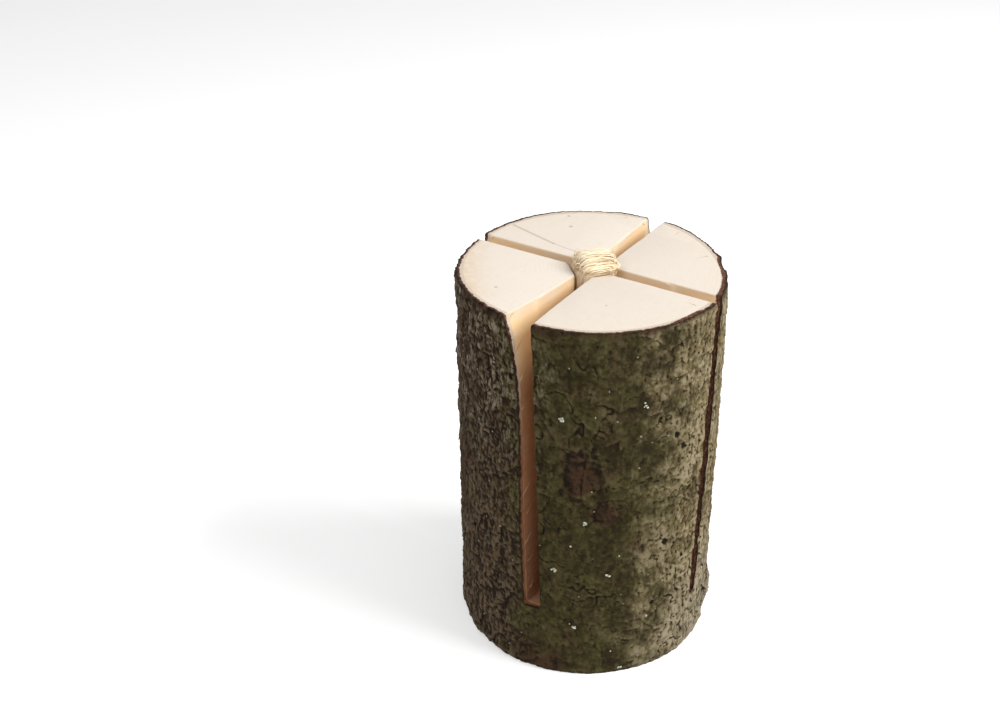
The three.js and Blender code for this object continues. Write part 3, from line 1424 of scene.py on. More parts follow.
@dataclass
class Bark:
    """The bark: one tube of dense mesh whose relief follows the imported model's plates.

    Every field that ends in depth is in millimetres. A place on the bark is a turn in degrees and a
    height. The zones are shares of olive, dry and rough bark, each at the same turns.
    """

    trunk: Trunk
    columns: int = 640
    rows: int = 300
    section_cuts: tuple = (3, 8, 2)
    thinnest: float = 1.2 * MM
    cut_room: float = 20 * MM
    plate_share: float = 0.3
    large: ScaleLayer = ScaleLayer(40, 15 * MM, 101, (0.48, 0.12, 0.55))
    small: ScaleLayer = ScaleLayer(88, 7 * MM, 131, (0.30, 0.18, 0.40))
    flakes: ScaleLayer = ScaleLayer(112, 13 * MM, 151, (0.08, 0.17, 0.85))
    edge_depth: float = 0.35
    rubble_depth: float = 0.20
    crack_depth: float = 0.9
    pit_depth: float = 1.3
    pin_depth: float = 0.9
    wound_depth: float = 0.9
    wound_side_depth: float = 0.55
    worn_foot: float = 4.5 * MM
    chipped_top: float = 2.5 * MM
    bands: tuple = (100 * MM, 200 * MM)
    map: ReliefMap | None = None
    wound_place: tuple = (298.0, 187 * MM, 13 * MM, 20 * MM)
    zone_turns: tuple = (0, 33, 60, 90, 120, 150, 180, 205, 255, 285, 315, 330, 345, 360)
    zone_shares: tuple = (
        (0.1, 0.1, 0.35, 0.6, 0.75, 0.5, 0.2, 0.05, 0.15, 0.95, 0.95, 0.85, 0.5, 0.1),
        (0.95, 0.9, 0.5, 0.3, 0.1, 0.1, 0.1, 0.1, 0.05, 0.03, 0.14, 0.36, 0.60, 0.95),
        (0.4, 0.6, 0.4, 0.3, 0.4, 0.6, 0.8, 0.95, 0.90, 0.12, 0.04, 0.10, 0.25, 0.4),
    )
    specks: tuple = ((288, 232), (299, 145), (309, 97), (295, 47), (317, 5), (322, 242), (286, 100))
    pits: tuple = ((338, 210), (342, 197), (335, 118), (346, 96), (330, 64), (12, 180), (17, 120))

    def zones(self, turn: Array, z: Array) -> dict[str, Array]:
        """Gives how much each kind of bark shows, from 0 to 1.

        Args:
            turn: Turns.
            z: Heights.

        Returns:
            Numbers by the kind's name.
        """
        patch = layered_noise(turn / FULL * 14, z / (42 * MM), 14, 301, 4)
        blotch = layered_noise(turn / FULL * 40, z / (17 * MM), 40, 321, 3)
        degrees = np.mod(np.degrees(turn) + 3.5 * patch + 3 * blotch, 360)
        olive, dry, rough = (np.interp(degrees, self.zone_turns, zone) for zone in self.zone_shares)
        red = 0.5 * smooth_step(patch, 0.45, 1.05) * (0.35 + rough)
        red = red + 0.8 * band(turn, 280, 12, 14) * smooth_step(z + 9 * blotch * MM, 44 * MM, 10 * MM)
        red = red + 0.5 * band(turn, 24, 12, 8) * smooth_step(patch, 0.0, 0.5)
        rim = smooth_step(z + 3 * blotch * MM, self.trunk.height - 6 * MM, self.trunk.height)
        red = red + rim * (0.45 + 0.5 * rough)
        for scar in self.trunk.scars:
            distance = self.trunk.scar_distance(scar, turn, z)
            red = red + (scar.sink > 0) * 0.9 * smooth_step(distance + 0.5 * blotch, 1.5, 0.4)
        red = red + 0.95 * self.wound(turn, z)[0] * (0.75 + 0.35 * blotch)
        olive = np.clip(olive + 0.2 * patch, 0, 1)
        dry = np.clip(dry + (0.10 * patch + 0.12 * blotch) * smooth_step(dry, 0.05, 0.3), 0, 1)
        return {
            "olive": olive,
            "dry": dry,
            "rough": np.clip(rough, 0, 1),
            "red": np.clip(red, 0, 1),
            "blotch": np.clip(0.5 + 0.4 * blotch, 0, 1),
        }

    def spots(self, turn: Array, z: Array, places: tuple, size: float, soft: float) -> Array:
        """Is 1 in small ragged spots at given places.

        Args:
            turn: Turns.
            z: Heights.
            places: Each spot's turn in degrees and height in millimetres.
            size: The spots' radius.
            soft: How ragged their edges are, as a share of the size.

        Returns:
            Numbers from 0 to 1.
        """
        ragged = soft * noise(turn / FULL * 300, z / (2 * MM), 300, 71)
        total = np.zeros_like(turn)
        for order, (degrees, height) in enumerate(places):
            own = size * (0.7 + 0.6 * float(lattice(np.array([order]), np.array([5]), 9)[0]))
            spot = Scar(degrees, height * MM, own, 0, 0)
            distance = self.trunk.scar_distance(spot, turn, z)
            total = np.maximum(total, smooth_step(distance + ragged, 1.5, 0.4))
        return total

    def wound(self, turn: Array, z: Array) -> tuple[Array, Array]:
        """Gives the old wound at the front: a sunk patch with a dark top, painted as shadow, and a dark left
        side.

        Args:
            turn: Turns.
            z: Heights.

        Returns:
            Numbers from 0 to 1 for the patch and for its dark sides.
        """
        degrees, height, half_wide, half_tall = self.wound_place
        warp = 0.26 * noise(turn / FULL * 60, z / (10 * MM), 60, 501)
        warp = warp + 0.12 * noise(turn / FULL * 180, z / (3.5 * MM), 180, 503)
        across = (turn - math.radians(degrees)) * self.trunk.top_radius / half_wide
        up = (z - height) / half_tall
        away = (across**4 + up**4) ** 0.25 + warp
        patch = smooth_step(away, 1.3, 0.72)
        # Painted shadow along the top; the left side is darkened too.
        top_side = smooth_step(up - 0.25 * across, 0.35, 0.95)
        left_side = 0.85 * smooth_step(-across, 0.45, 1.0)
        return patch, np.exp(-(((away - 0.74) / 0.4) ** 2)) * np.maximum(top_side, left_side)

    def scales(self, turn: Array, z: Array, layer: ScaleLayer, loose_share: Array) -> tuple[Array, ...]:
        """Gives a layer of scales that lift at one edge.

        Args:
            turn: Turns.
            z: Heights.
            layer: Which layer.
            loose_share: How many of the scales stand off the bark at their edges.

        Returns:
            Height from about -1 to 1, edge from 0 to 1, and each scale's random number.
        """
        around, seed = layer.around, layer.seed
        u, v = turn / FULL * around, z / layer.tall
        warp_u = 0.55 * noise(u, v, around, seed) + 0.22 * noise(u * 4, v * 4, around * 4, seed + 8)
        warp_v = 0.55 * noise(u, v, around, seed + 1) + 0.22 * noise(u * 4, v * 4, around * 4, seed + 9)
        cells = Cells.read(u + warp_u, v + warp_v, around, seed + 2)
        lean = cells.draw(seed + 5) - 0.5
        lift = 0.9 * (cells.draw(seed + 4) - 0.4) - 0.8 * cells.up * (0.3 + cells.draw(seed + 6))
        lift = lift + 0.9 * lean * cells.across
        loose = cells.draw(seed + 3) < loose_share
        held = smooth_step(cells.gap, 0.0, 0.42)
        return lift * np.where(loose, 1.0, held), cells.edge(0.10) * loose, cells.draw(seed + 7)

    def cracks(self, turn: Array, z: Array) -> Array:
        """Is 1 in thin curved cracks.

        Args:
            turn: Turns.
            z: Heights.

        Returns:
            Numbers from 0 to 1.
        """
        wander = layered_noise(turn / FULL * 34, z / (24 * MM), 34, 401, 3)
        gate = smooth_step(noise(turn / FULL * 18, z / (38 * MM), 18, 411), 0.05, 0.5)
        return np.exp(-((wander / 0.045) ** 2)) * gate

    def breaks(self, turn: Array, z: Array, dry: Array) -> tuple[Array, Array, Array]:
        """Gives the breaks in the bark.

        Args:
            turn: Turns.
            z: Heights.
            dry: How dry the bark is.

        Returns:
            Numbers from 0 to 1 for its cracks, pits and pinholes.
        """
        pores = Cells.read(turn / FULL * 150, z / (4.4 * MM), 150, 181)
        pin = smooth_step(pores.near, 0.30, 0.12) * (pores.draw(185) > 0.82) * dry
        return self.cracks(turn, z), self.spots(turn, z, self.pits, 2.2 * MM, 0.5), pin

    def relief(self, turn: Array, z: Array) -> dict[str, Array]:
        """Works out the bark's relief and what goes with it.

        Args:
            turn: Turns.
            z: Heights.

        Returns:
            The height in metres and the numbers that the material reads.
        """
        trunk, zones = self.trunk, self.zones(turn, z)
        rough, dry = zones["rough"], zones["dry"]
        loose = 0.08 + 0.14 * dry + 0.66 * rough
        plates = trunk.plates(turn, z)
        plate = trunk.plate_step * (plates.draw(23) - 0.5) - 0.12 * trunk.seam_depth * plates.edge(0.12)
        large, large_edge, large_tone = self.scales(turn, z, self.large, loose)
        small, small_edge, small_tone = self.scales(turn, z, self.small, loose)
        flake, flake_edge, flake_tone = self.scales(turn, z, self.flakes, 0.1 + 0.75 * rough)
        soft = layered_noise(turn / FULL * 52, z / (13 * MM), 52, 161, 3)
        grain = layered_noise(turn / FULL * 240, z / (9 * MM), 240, 165, 2)
        wound, wound_side = self.wound(turn, z)
        crack, pit, pin = self.breaks(turn, z, dry)
        rubble = layered_noise(turn / FULL * 170, z / (4 * MM), 170, 171, 3)
        height = self.plate_share * plate
        for layer, lift in ((self.large, large), (self.small, small), (self.flakes, flake)):
            height = height + layer.depth(dry, rough) * lift * MM
        height = height + (0.45 * soft + (0.08 + 0.14 * dry + 0.22 * rough) * grain) * MM
        flake_share = 0.1 + 0.3 * dry + 0.8 * rough
        edges = np.maximum(large_edge, np.maximum(0.7 * small_edge, flake_share * flake_edge))
        height = height - self.edge_depth * edges * MM
        fine = self.rubble_depth * rubble - self.crack_depth * crack - self.pit_depth * pit
        height = height + (fine - self.pin_depth * pin) * MM
        height = height - (self.wound_depth * wound + self.wound_side_depth * wound_side) * MM
        height, dark = self.branch_scars(turn, z, height, (large, small))
        height = self.worn_ends(z, height, rubble)
        tone = 0.5 * large_tone + 0.5 * small_tone
        # Painted shade in the scales' gaps, cracks, pits and pinholes, under each sunk scar's top and along
        # the wound's top; this number also darkens the wound's left side and the whole wound a little.
        seam = 0.5 * edges + 0.8 * crack + pit + 0.9 * pin + 0.75 * dark + 0.66 * wound_side + 0.36 * wound
        return {
            "height": height,
            "seam": np.clip(seam, 0, 1),
            "tone": tone * (1 - 0.5 * rough) + 0.5 * rough * flake_tone,
            "lichen": self.lichen(turn, z),
            **zones,
        }

    def worn_ends(self, z: Array, height: Array, rubble: Array) -> Array:
        """Wears the relief away at the foot and at the sawn top.

        Args:
            z: Heights.
            height: The relief so far.
            rubble: Fine noise that makes the wear uneven.

        Returns:
            The relief.
        """
        top = self.trunk.height
        worn = np.clip(1 - z / self.worn_foot, 0, 1) ** 2
        height = height - worn * (1.3 + 0.6 * rubble) * MM
        chipped = smooth_step(z, top - self.chipped_top, top)
        return height - chipped * (0.35 + 0.5 * rubble) * MM

    def branch_scars(self, turn: Array, z: Array, height: Array, lumps: tuple) -> tuple[Array, Array]:
        """Adds the healed branches to the relief.

        Args:
            turn: Turns.
            z: Heights.
            height: The relief so far.
            lumps: Scales that break the scars' outlines.

        Returns:
            The relief, and numbers from 0 to 1 for the dark rings, a painted shadow that is strongest under
            each sunk scar's top.
        """
        dark = np.zeros_like(turn)
        for scar in self.trunk.scars:
            distance = self.trunk.scar_distance(scar, turn, z)
            for lump in lumps:
                distance = distance + 0.12 * lump
            overhang = smooth_step(z - scar.z, -0.8 * scar.size, 0.9 * scar.size)
            height = height + 0.8 * scar.rise * np.exp(-((distance / 1.3) ** 4))
            height = height - 0.6 * scar.sink * np.exp(-((distance / 0.9) ** 6)) * (0.5 + 0.5 * overhang)
            ring = np.exp(-(((distance - 0.82) / 0.28) ** 2))
            # Painted shadow: a dark ring, strongest under the overhanging top of each sunk scar.
            dark = dark + (scar.sink > 0) * (0.15 + 0.85 * overhang) * ring
        return height, dark

    def draw_map(self) -> None:
        """Works out the relief and the material's numbers on the grid, once."""
        self.map = ReliefMap(self.trunk.height)
        self.map.layers = self.relief(*self.map.grid())
        height = self.map.layers["height"]
        fine, broad = height - self.map.blurred("height", 2), height - self.map.blurred("height", 6)
        # How far a place lies below its neighbours: the bark's colour darkens it as painted shade and
        # lightens the raised places as painted highlight.
        self.map.layers["hollow"] = np.clip(0.5 - fine / (0.9 * MM) - broad / (3.0 * MM), 0, 1)

    def lichen(self, turn: Array, z: Array) -> Array:
        """Is 1 where a lichen crust grows.

        Args:
            turn: Turns.
            z: Heights.

        Returns:
            Numbers from 0 to 1.
        """
        grains = Cells.read(turn / FULL * 70, z / (9 * MM), 70, 211)
        crumbs = smooth_step(grains.near, 0.16, 0.06) * (grains.draw(215) > 0.955)
        return np.maximum(0.8 * crumbs, self.spots(turn, z, self.specks, 1.7 * MM, 0.6))

    def outer_radius(self, turn: Array, z: Array, height: Array) -> Array:
        """Gives the radius of the bark's outer face, never nearer the inner face than the thinnest."""
        lowest = self.trunk.inner_radius(turn, z) + self.thinnest
        return np.maximum(self.trunk.radius(turn, z) + height, lowest)

    def thickness_of_dark(self, turn: Array) -> Array:
        """Gives how deep the dark layers reach in section: most at the right, where the extra depth is
        painted shade in the narrow cut, little at the back.

        Args:
            turn: Turns.

        Returns:
            Shares of the bark's thickness.
        """
        # Painted shade: the dark layers reach deepest at the right, where the narrow cut lies in shade.
        thick = band(turn, 8, 32, 16)
        thin = band(turn, 95, 52, 20)
        broken = band(turn, 354, 5, 5)
        return 0.46 + 0.38 * thick - 0.20 * thin - 0.35 * broken

    def build(self, cutters: Iterable[Piece]) -> list[Piece]:
        """Builds the bark, cuts it and parts it into bands.

        Args:
            cutters: The saw cuts' solids.

        Returns:
            The bands.
        """
        self.draw_map()
        top = self.trunk.height
        outer, inner = self.trunk.top_radius, self.trunk.top_radius - self.trunk.bark
        section = [(outer, 0.0), (outer, top), (inner, top), (inner, 0.0)]
        piece = turned_tube("bark_dressed", section, [self.rows, *self.section_cuts], self.columns)
        turn, radius, z = polar(read_points(piece))
        depth = np.clip((outer - radius) / (outer - inner), 0, 1)
        outside = self.outer_radius(turn, z, self.map.read("height", turn, z))
        inside = self.trunk.inner_radius(turn, z)
        write_points(piece, keep_inside(from_polar(turn, outside + (inside - outside) * depth, z)))
        for cutter in cutters:
            subtract(piece, cutter)
        self.store_numbers(piece)
        smooth(piece, 60)
        bands = split_by_height(piece, self.bands)
        for order, band_piece in enumerate(bands):
            band_piece.name = f"bark_band_{order + 1}"
        return bands

    def store_numbers(self, piece: Piece) -> None:
        """Stores on each point what the materials read, and gives cut faces the second material.

        Args:
            piece: The bark, after it is cut.
        """
        points = read_points(piece)
        turn, radius, z = polar(points)
        numbers = {name: self.map.read(name, turn, z) for name in self.map.layers}
        outside = self.outer_radius(turn, z, numbers.pop("height"))
        inside = self.trunk.inner_radius(turn, z)
        numbers["depth"] = np.clip((outside - radius) / (outside - inside), 0, 1)
        numbers["dark_layers_and_shade"] = self.thickness_of_dark(turn)
        for name, values in numbers.items():
            write_number(piece, name, values)
        faces = len(piece.data.polygons)
        normals, middles = np.empty(faces * 3), np.empty(faces * 3)
        piece.data.polygons.foreach_get("normal", normals)
        piece.data.polygons.foreach_get("center", middles)
        normals, middles = normals.reshape(-1, 3), middles.reshape(-1, 3)
        out = middles[:, :2] / np.linalg.norm(middles[:, :2], axis=1)[:, None]
        facing = (normals[:, :2] * out).sum(1)
        edge = np.minimum(middles[:, 2], self.trunk.height - middles[:, 2]) < 0.01 * MM
        sideways, inwards = facing < 0.35, facing < -0.3
        give_materials(piece, BarkFinish().material(), CutBarkFinish().material())
        index = (inwards | edge | (sideways & self.near_cut(middles))).astype(np.int32)
        piece.data.polygons.foreach_set("material_index", index)

    def near_cut(self, middles: Array) -> Array:
        """Says which faces lie within a saw cut's reach, sideways."""
        x, y = np.abs(middles[:, 0]), np.abs(middles[:, 1])
        return np.minimum(x, y) < self.cut_room


@dataclass
class Wood:
    """The trunk's wood: cut, bored for the wick and checked by drying."""

    trunk: Trunk
    overlap: float = 0.25 * MM
    tip_distance: float = 15.6 * MM
    tip_round: float = 2.6 * MM
    hole_depth: float = 84 * MM
    hole_lip: float = 1.3 * MM
    hole_sides: int = 96
    hole_cuts: int = 51
    sides: int = 220
    level_cuts: int = 7
    check_width: float = 0.32 * MM
    check_depth: float = 5 * MM
    checks: tuple = ((27, 86, 26, 75), (63, 60, 54, 47), (-20, 91, -19, 84), (88, -14, 80, -13))

    def hole_radius(self, turn: Array) -> Array:
        """Gives the squarish hole's radius: flat towards each wood tip, and rounded off.

        Args:
            turn: Turns.

        Returns:
            Radii.
        """
        quarter = np.mod(turn / (FULL / 4), 1)
        off = np.abs(quarter - 0.5) * 2
        flat = self.tip_distance / np.cos(off * math.pi / 4)
        return np.minimum(flat, self.tip_distance * 1.18) + self.tip_round * off**4

    def hole(self) -> Piece:
        """Builds the solid that the wick's hole takes out.

        Returns:
            The solid.
        """
        top = self.trunk.height
        low, high = top - self.hole_depth, top + 20 * MM
        piece = post("wick_hole", self.hole_sides, low, high, self.hole_cuts)
        turn, _, z = polar(read_points(piece))
        z = rows_at_lip(z, (low, high), self.hole_cuts + 1, top, self.hole_lip, LIP_ROWS)
        lip = lip_width(np.minimum(z, top), top, self.hole_lip)
        rasp = 0.35 * noise(turn / FULL * 14, z / (9 * MM), 14, 61) * MM
        write_points(piece, from_polar(turn, self.hole_radius(turn) + lip + rasp, z))
        return piece

    def check_cutter(self, place: tuple) -> Piece:
        """Builds a thin wedge, deepest at the rim, for one drying crack.

        Args:
            place: The crack's outer and inner end, as x and y in millimetres.

        Returns:
            The wedge.
        """
        outer, inner = Vector(place[:2]) * MM, Vector(place[2:]) * MM
        length = (outer - inner).length
        clear_selection()
        bpy.ops.mesh.primitive_cone_add(vertices=4, radius1=1, radius2=0.02, depth=1, location=(0, 0, 0))
        piece = named("drying_crack")
        points = read_points(piece)
        heading = math.atan2(outer.y - inner.y, outer.x - inner.x)
        run = length * (0.5 - points[:, 2])
        side, down = points[:, 0] * self.check_width, points[:, 1] * self.check_depth
        x = inner.x + run * math.cos(heading) - side * math.sin(heading)
        y = inner.y + run * math.sin(heading) + side * math.cos(heading)
        write_points(piece, np.stack([x, y, self.trunk.height + down], axis=1))
        face_outwards(piece)
        return piece

    def build(self, cutters: Iterable[Piece]) -> Piece:
        """Builds the wood and cuts it.

        Args:
            cutters: The saw cuts' solids.

        Returns:
            The piece.
        """
        top = self.trunk.height
        piece = post("wood_dressed", self.sides, 0, top, self.level_cuts)
        turn, _, z = polar(read_points(piece))
        radius = self.trunk.radius(turn, z) - self.trunk.bark + self.overlap
        write_points(piece, from_polar(turn, radius, z))
        hole = self.hole()
        wedges = [self.check_cutter(place) for place in self.checks]
        for cutter in [*cutters, hole, *wedges]:
            subtract(piece, cutter)
        for cutter in [hole, *wedges]:
            bpy.data.objects.remove(cutter)
        smooth(piece, 32)
        give_materials(piece, WoodFinish(height=top).material())
        return piece


@dataclass
class Wick:
    """The hank of wood wool, folded over its own top."""

    trunk: Trunk
    radius: float = 14.6 * MM
    rise: float = 11.0 * MM
    foot: float = 0.0
    turn_degrees: float = 45
    corner: float = 4.5
    strands: int = 380
    path_points: int = 21
    bulge: float = 1.8 * MM
    lean: float = 2.2 * MM
    seed: int = 20

    def squarish(self, turn: Array) -> Array:
        """Gives the radius of the hank's outline, 1 towards each flat side."""
        power = self.corner
        return (np.abs(np.cos(turn)) ** power + np.abs(np.sin(turn)) ** power) ** (-1 / power)

    def arch_path(self, draw: Draw) -> Array:
        """Gives the points of a strand that runs over the hank's top and down both its sides.

        Args:
            draw: Where random numbers come from.

        Returns:
            Rows of x, y and z, in the hank's own turn.
        """
        top, corner = self.trunk.height, self.corner
        lane = draw.uniform(-1, 1)
        layer = draw.uniform(0.72, 1)
        half = self.radius * (1 - 0.96 * abs(lane) ** corner) ** (1 / corner) * (0.8 + 0.2 * layer)
        crown = (self.rise + 3 * MM) * layer * (1 - 0.45 * lane**2) - 3 * MM
        square = draw.uniform(3.0, 6.0)
        ends = draw.uniform(18, 44, 2) * MM
        skew = draw.normal(0.02, 0.07) if draw.uniform() < 0.88 else draw.normal(0, 0.35)
        wave, phase = abs(draw.normal(0.3, 0.35)) * MM, draw.uniform(0, FULL)
        points = []
        for step in np.linspace(0, math.pi, self.path_points):
            side_way, up_way = math.cos(step), math.sin(step)
            across = half * math.copysign(abs(side_way) ** (2 / square), side_way)
            drop = ends[0] if side_way < 0 else ends[1]
            z = top - drop + (drop + crown) * up_way ** (2 / square)
            z += draw.normal(0, 0.2) * MM + 0.6 * wave * math.cos(phase + across / (4 * MM))
            side = lane * self.radius * 0.97 + skew * across + wave * math.sin(phase + across / (5 * MM))
            points.append((across, side, z))
        return np.array(points)

    def belt_path(self, draw: Draw) -> Array:
        """Gives the points of a strand that lies level round the hank's front or back.

        Args:
            draw: Where random numbers come from.

        Returns:
            Rows of x, y and z, in the hank's own turn.
        """
        side = -1 if draw.uniform() < 0.7 else 1
        level = self.trunk.height + draw.uniform(-19, 4.0) * MM
        slope, depth = draw.normal(0.05, 0.07), draw.uniform(0.92, 1.0)
        wave, phase = abs(draw.normal(0.4, 0.4)) * MM, draw.uniform(0, FULL)
        ends = draw.uniform(-30, 12), draw.uniform(168, 210)
        turns = np.radians(np.linspace(*ends, self.path_points))
        tucked = np.linspace(-1, 1, self.path_points) ** 4
        radius = self.radius * depth * self.squarish(turns) * (1 - 0.22 * tucked)
        across, deep = radius * np.cos(turns), side * radius * np.sin(turns)
        z = level + slope * across + wave * np.cos(phase + across / (4.5 * MM)) - 3 * MM * tucked
        return np.stack([across, deep, z], axis=1)

    def curl_path(self, draw: Draw) -> Array:
        """Gives the points of a short end that curls up at the hank's left.

        Args:
            draw: Where random numbers come from.

        Returns:
            Rows of x, y and z, in the hank's own turn.
        """
        turns = np.linspace(0, draw.uniform(3.5, 6.0), self.path_points)
        size = draw.uniform(1.2, 2.6) * MM * (1 - 0.08 * turns)
        across = -draw.uniform(8, 14) * MM + size * np.cos(turns)
        deep = draw.uniform(-9, 6) * MM + draw.normal(0, 0.5) * MM * turns
        z = self.trunk.height + draw.uniform(1.5, 6) * MM + size * np.sin(turns)
        return np.stack([across, deep, z], axis=1)

    def strand_path(self, draw: Draw, order: int) -> Array:
        """Gives the points that one strand follows, inside the hank's outline.

        Args:
            draw: Where random numbers come from.
            order: The strand's number.

        Returns:
            Rows of x, y and z, in the hank's own turn.
        """
        kinds = (self.arch_path, self.belt_path, self.arch_path, self.arch_path, self.belt_path)
        path = self.curl_path(draw) if order % 26 == 0 else kinds[order % 5](draw)
        away = (np.abs(path[:, :2]) ** self.corner).sum(1) ** (1 / self.corner)
        above = smooth_step(path[:, 2], self.trunk.height + 0.6 * MM, self.trunk.height + 5 * MM)
        swell = 1 + above * self.bulge / self.radius
        limit = self.radius * swell
        path[:, :2] *= (swell * np.minimum(1, limit / np.maximum(away * swell, 1e-6)))[:, None]
        return path

    def ribbon(self, path: Array, width: float, thick: float, twist: float, order: int) -> Piece:
        """Builds one flat strand along a path.

        Args:
            path: Points in the hank's own turn.
            width: The strand's width.
            thick: Its thickness.
            twist: How far it turns about itself over its length.
            order: Its number.

        Returns:
            The strand as a mesh.
        """
        curve = bpy.data.curves.new(f"strand_{order}", "CURVE")
        curve.dimensions = "3D"
        curve.resolution_u = 2
        curve.extrude = width / 2
        curve.bevel_depth = thick / 2
        curve.bevel_resolution = 0
        curve.use_fill_caps = True
        spline = curve.splines.new("NURBS")
        spline.points.add(len(path) - 1)
        spline.use_endpoint_u = True
        spline.order_u = 4
        for point, place, share in zip(spline.points, path, np.linspace(0, 1, len(path))):
            point.co = (*place, 1)
            point.tilt = math.pi / 2 + twist * (share - 0.5)
            point.radius = 0.8 + 0.25 * math.sin(math.pi * share)
        piece = bpy.data.objects.new(curve.name, curve)
        bpy.context.scene.collection.objects.link(piece)
        make_active(piece)
        bpy.ops.object.convert(target="MESH")
        return bpy.context.active_object

    def core(self) -> Piece:
        """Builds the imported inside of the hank, which shows only between strands.

        Returns:
            The core.
        """
        top = self.trunk.height
        piece = post("wick_core", 48, -0.5, 0.5, 39)
        turn, _, share = polar(read_points(piece))
        z = self.foot + (share + 0.5) * (top + self.rise * 0.72 - self.foot)
        head = np.sqrt(np.clip(1 - np.clip((z - top + 1 * MM) / (9.2 * MM), 0, 1) ** 2, 0.02, 1))
        ribs = 0.8 * noise(turn / FULL * 16 + z / (30 * MM), z / (26 * MM), 16, 41) * MM
        radius = (self.radius * self.squarish(turn) - 1.6 * MM + ribs) * head
        write_points(piece, from_polar(turn, radius, z))
        write_number(piece, "tone", 0.6 + 0.4 * noise(turn / FULL * 16, z / (30 * MM), 16, 43))
        return piece

    def build(self) -> Piece:
        """Builds the hank and stores what its material reads.

        Returns:
            The piece.
        """
        draw = np.random.default_rng(self.seed)
        pieces = [self.core()]
        for order in range(self.strands):
            path = self.strand_path(draw, order)
            width, thick = draw.uniform(0.5, 1.15) * MM, draw.uniform(0.18, 0.3) * MM
            strand = self.ribbon(path, width, thick, draw.normal(0, 1.0), order)
            write_number(strand, "tone", np.full(len(strand.data.vertices), draw.uniform()))
            pieces.append(strand)
        piece, top = join("wick_dressed", pieces), self.trunk.height
        points = read_points(piece)
        curled = smooth_step(-points[:, 0], 9.5 * MM, 14 * MM)
        points[:, 0] += self.lean * smooth_step(points[:, 2], top - 6 * MM, top + 4 * MM)
        heading = Matrix.Rotation(math.radians(self.turn_degrees), 3, "Z")
        points = points @ np.array(heading.transposed())
        points[:, 2] = np.clip(points[:, 2], self.foot + 0.2 * MM, top + self.rise)
        write_points(piece, points)
        # Painted shade: strands low in the hole and inside the hank turn brown; the curled ends at the left
        # are brown as well.
        inside = smooth_step(np.hypot(points[:, 0], points[:, 1]), self.radius, self.radius - 3 * MM)
        low = smooth_step(points[:, 2], top + 3 * MM, top - 14 * MM)
        write_number(piece, "deep", np.clip(0.45 * low + 0.3 * low * inside + 0.45 * curled, 0, 1))
        smooth(piece, 45)
        give_materials(piece, WickFinish().material())
        return piece


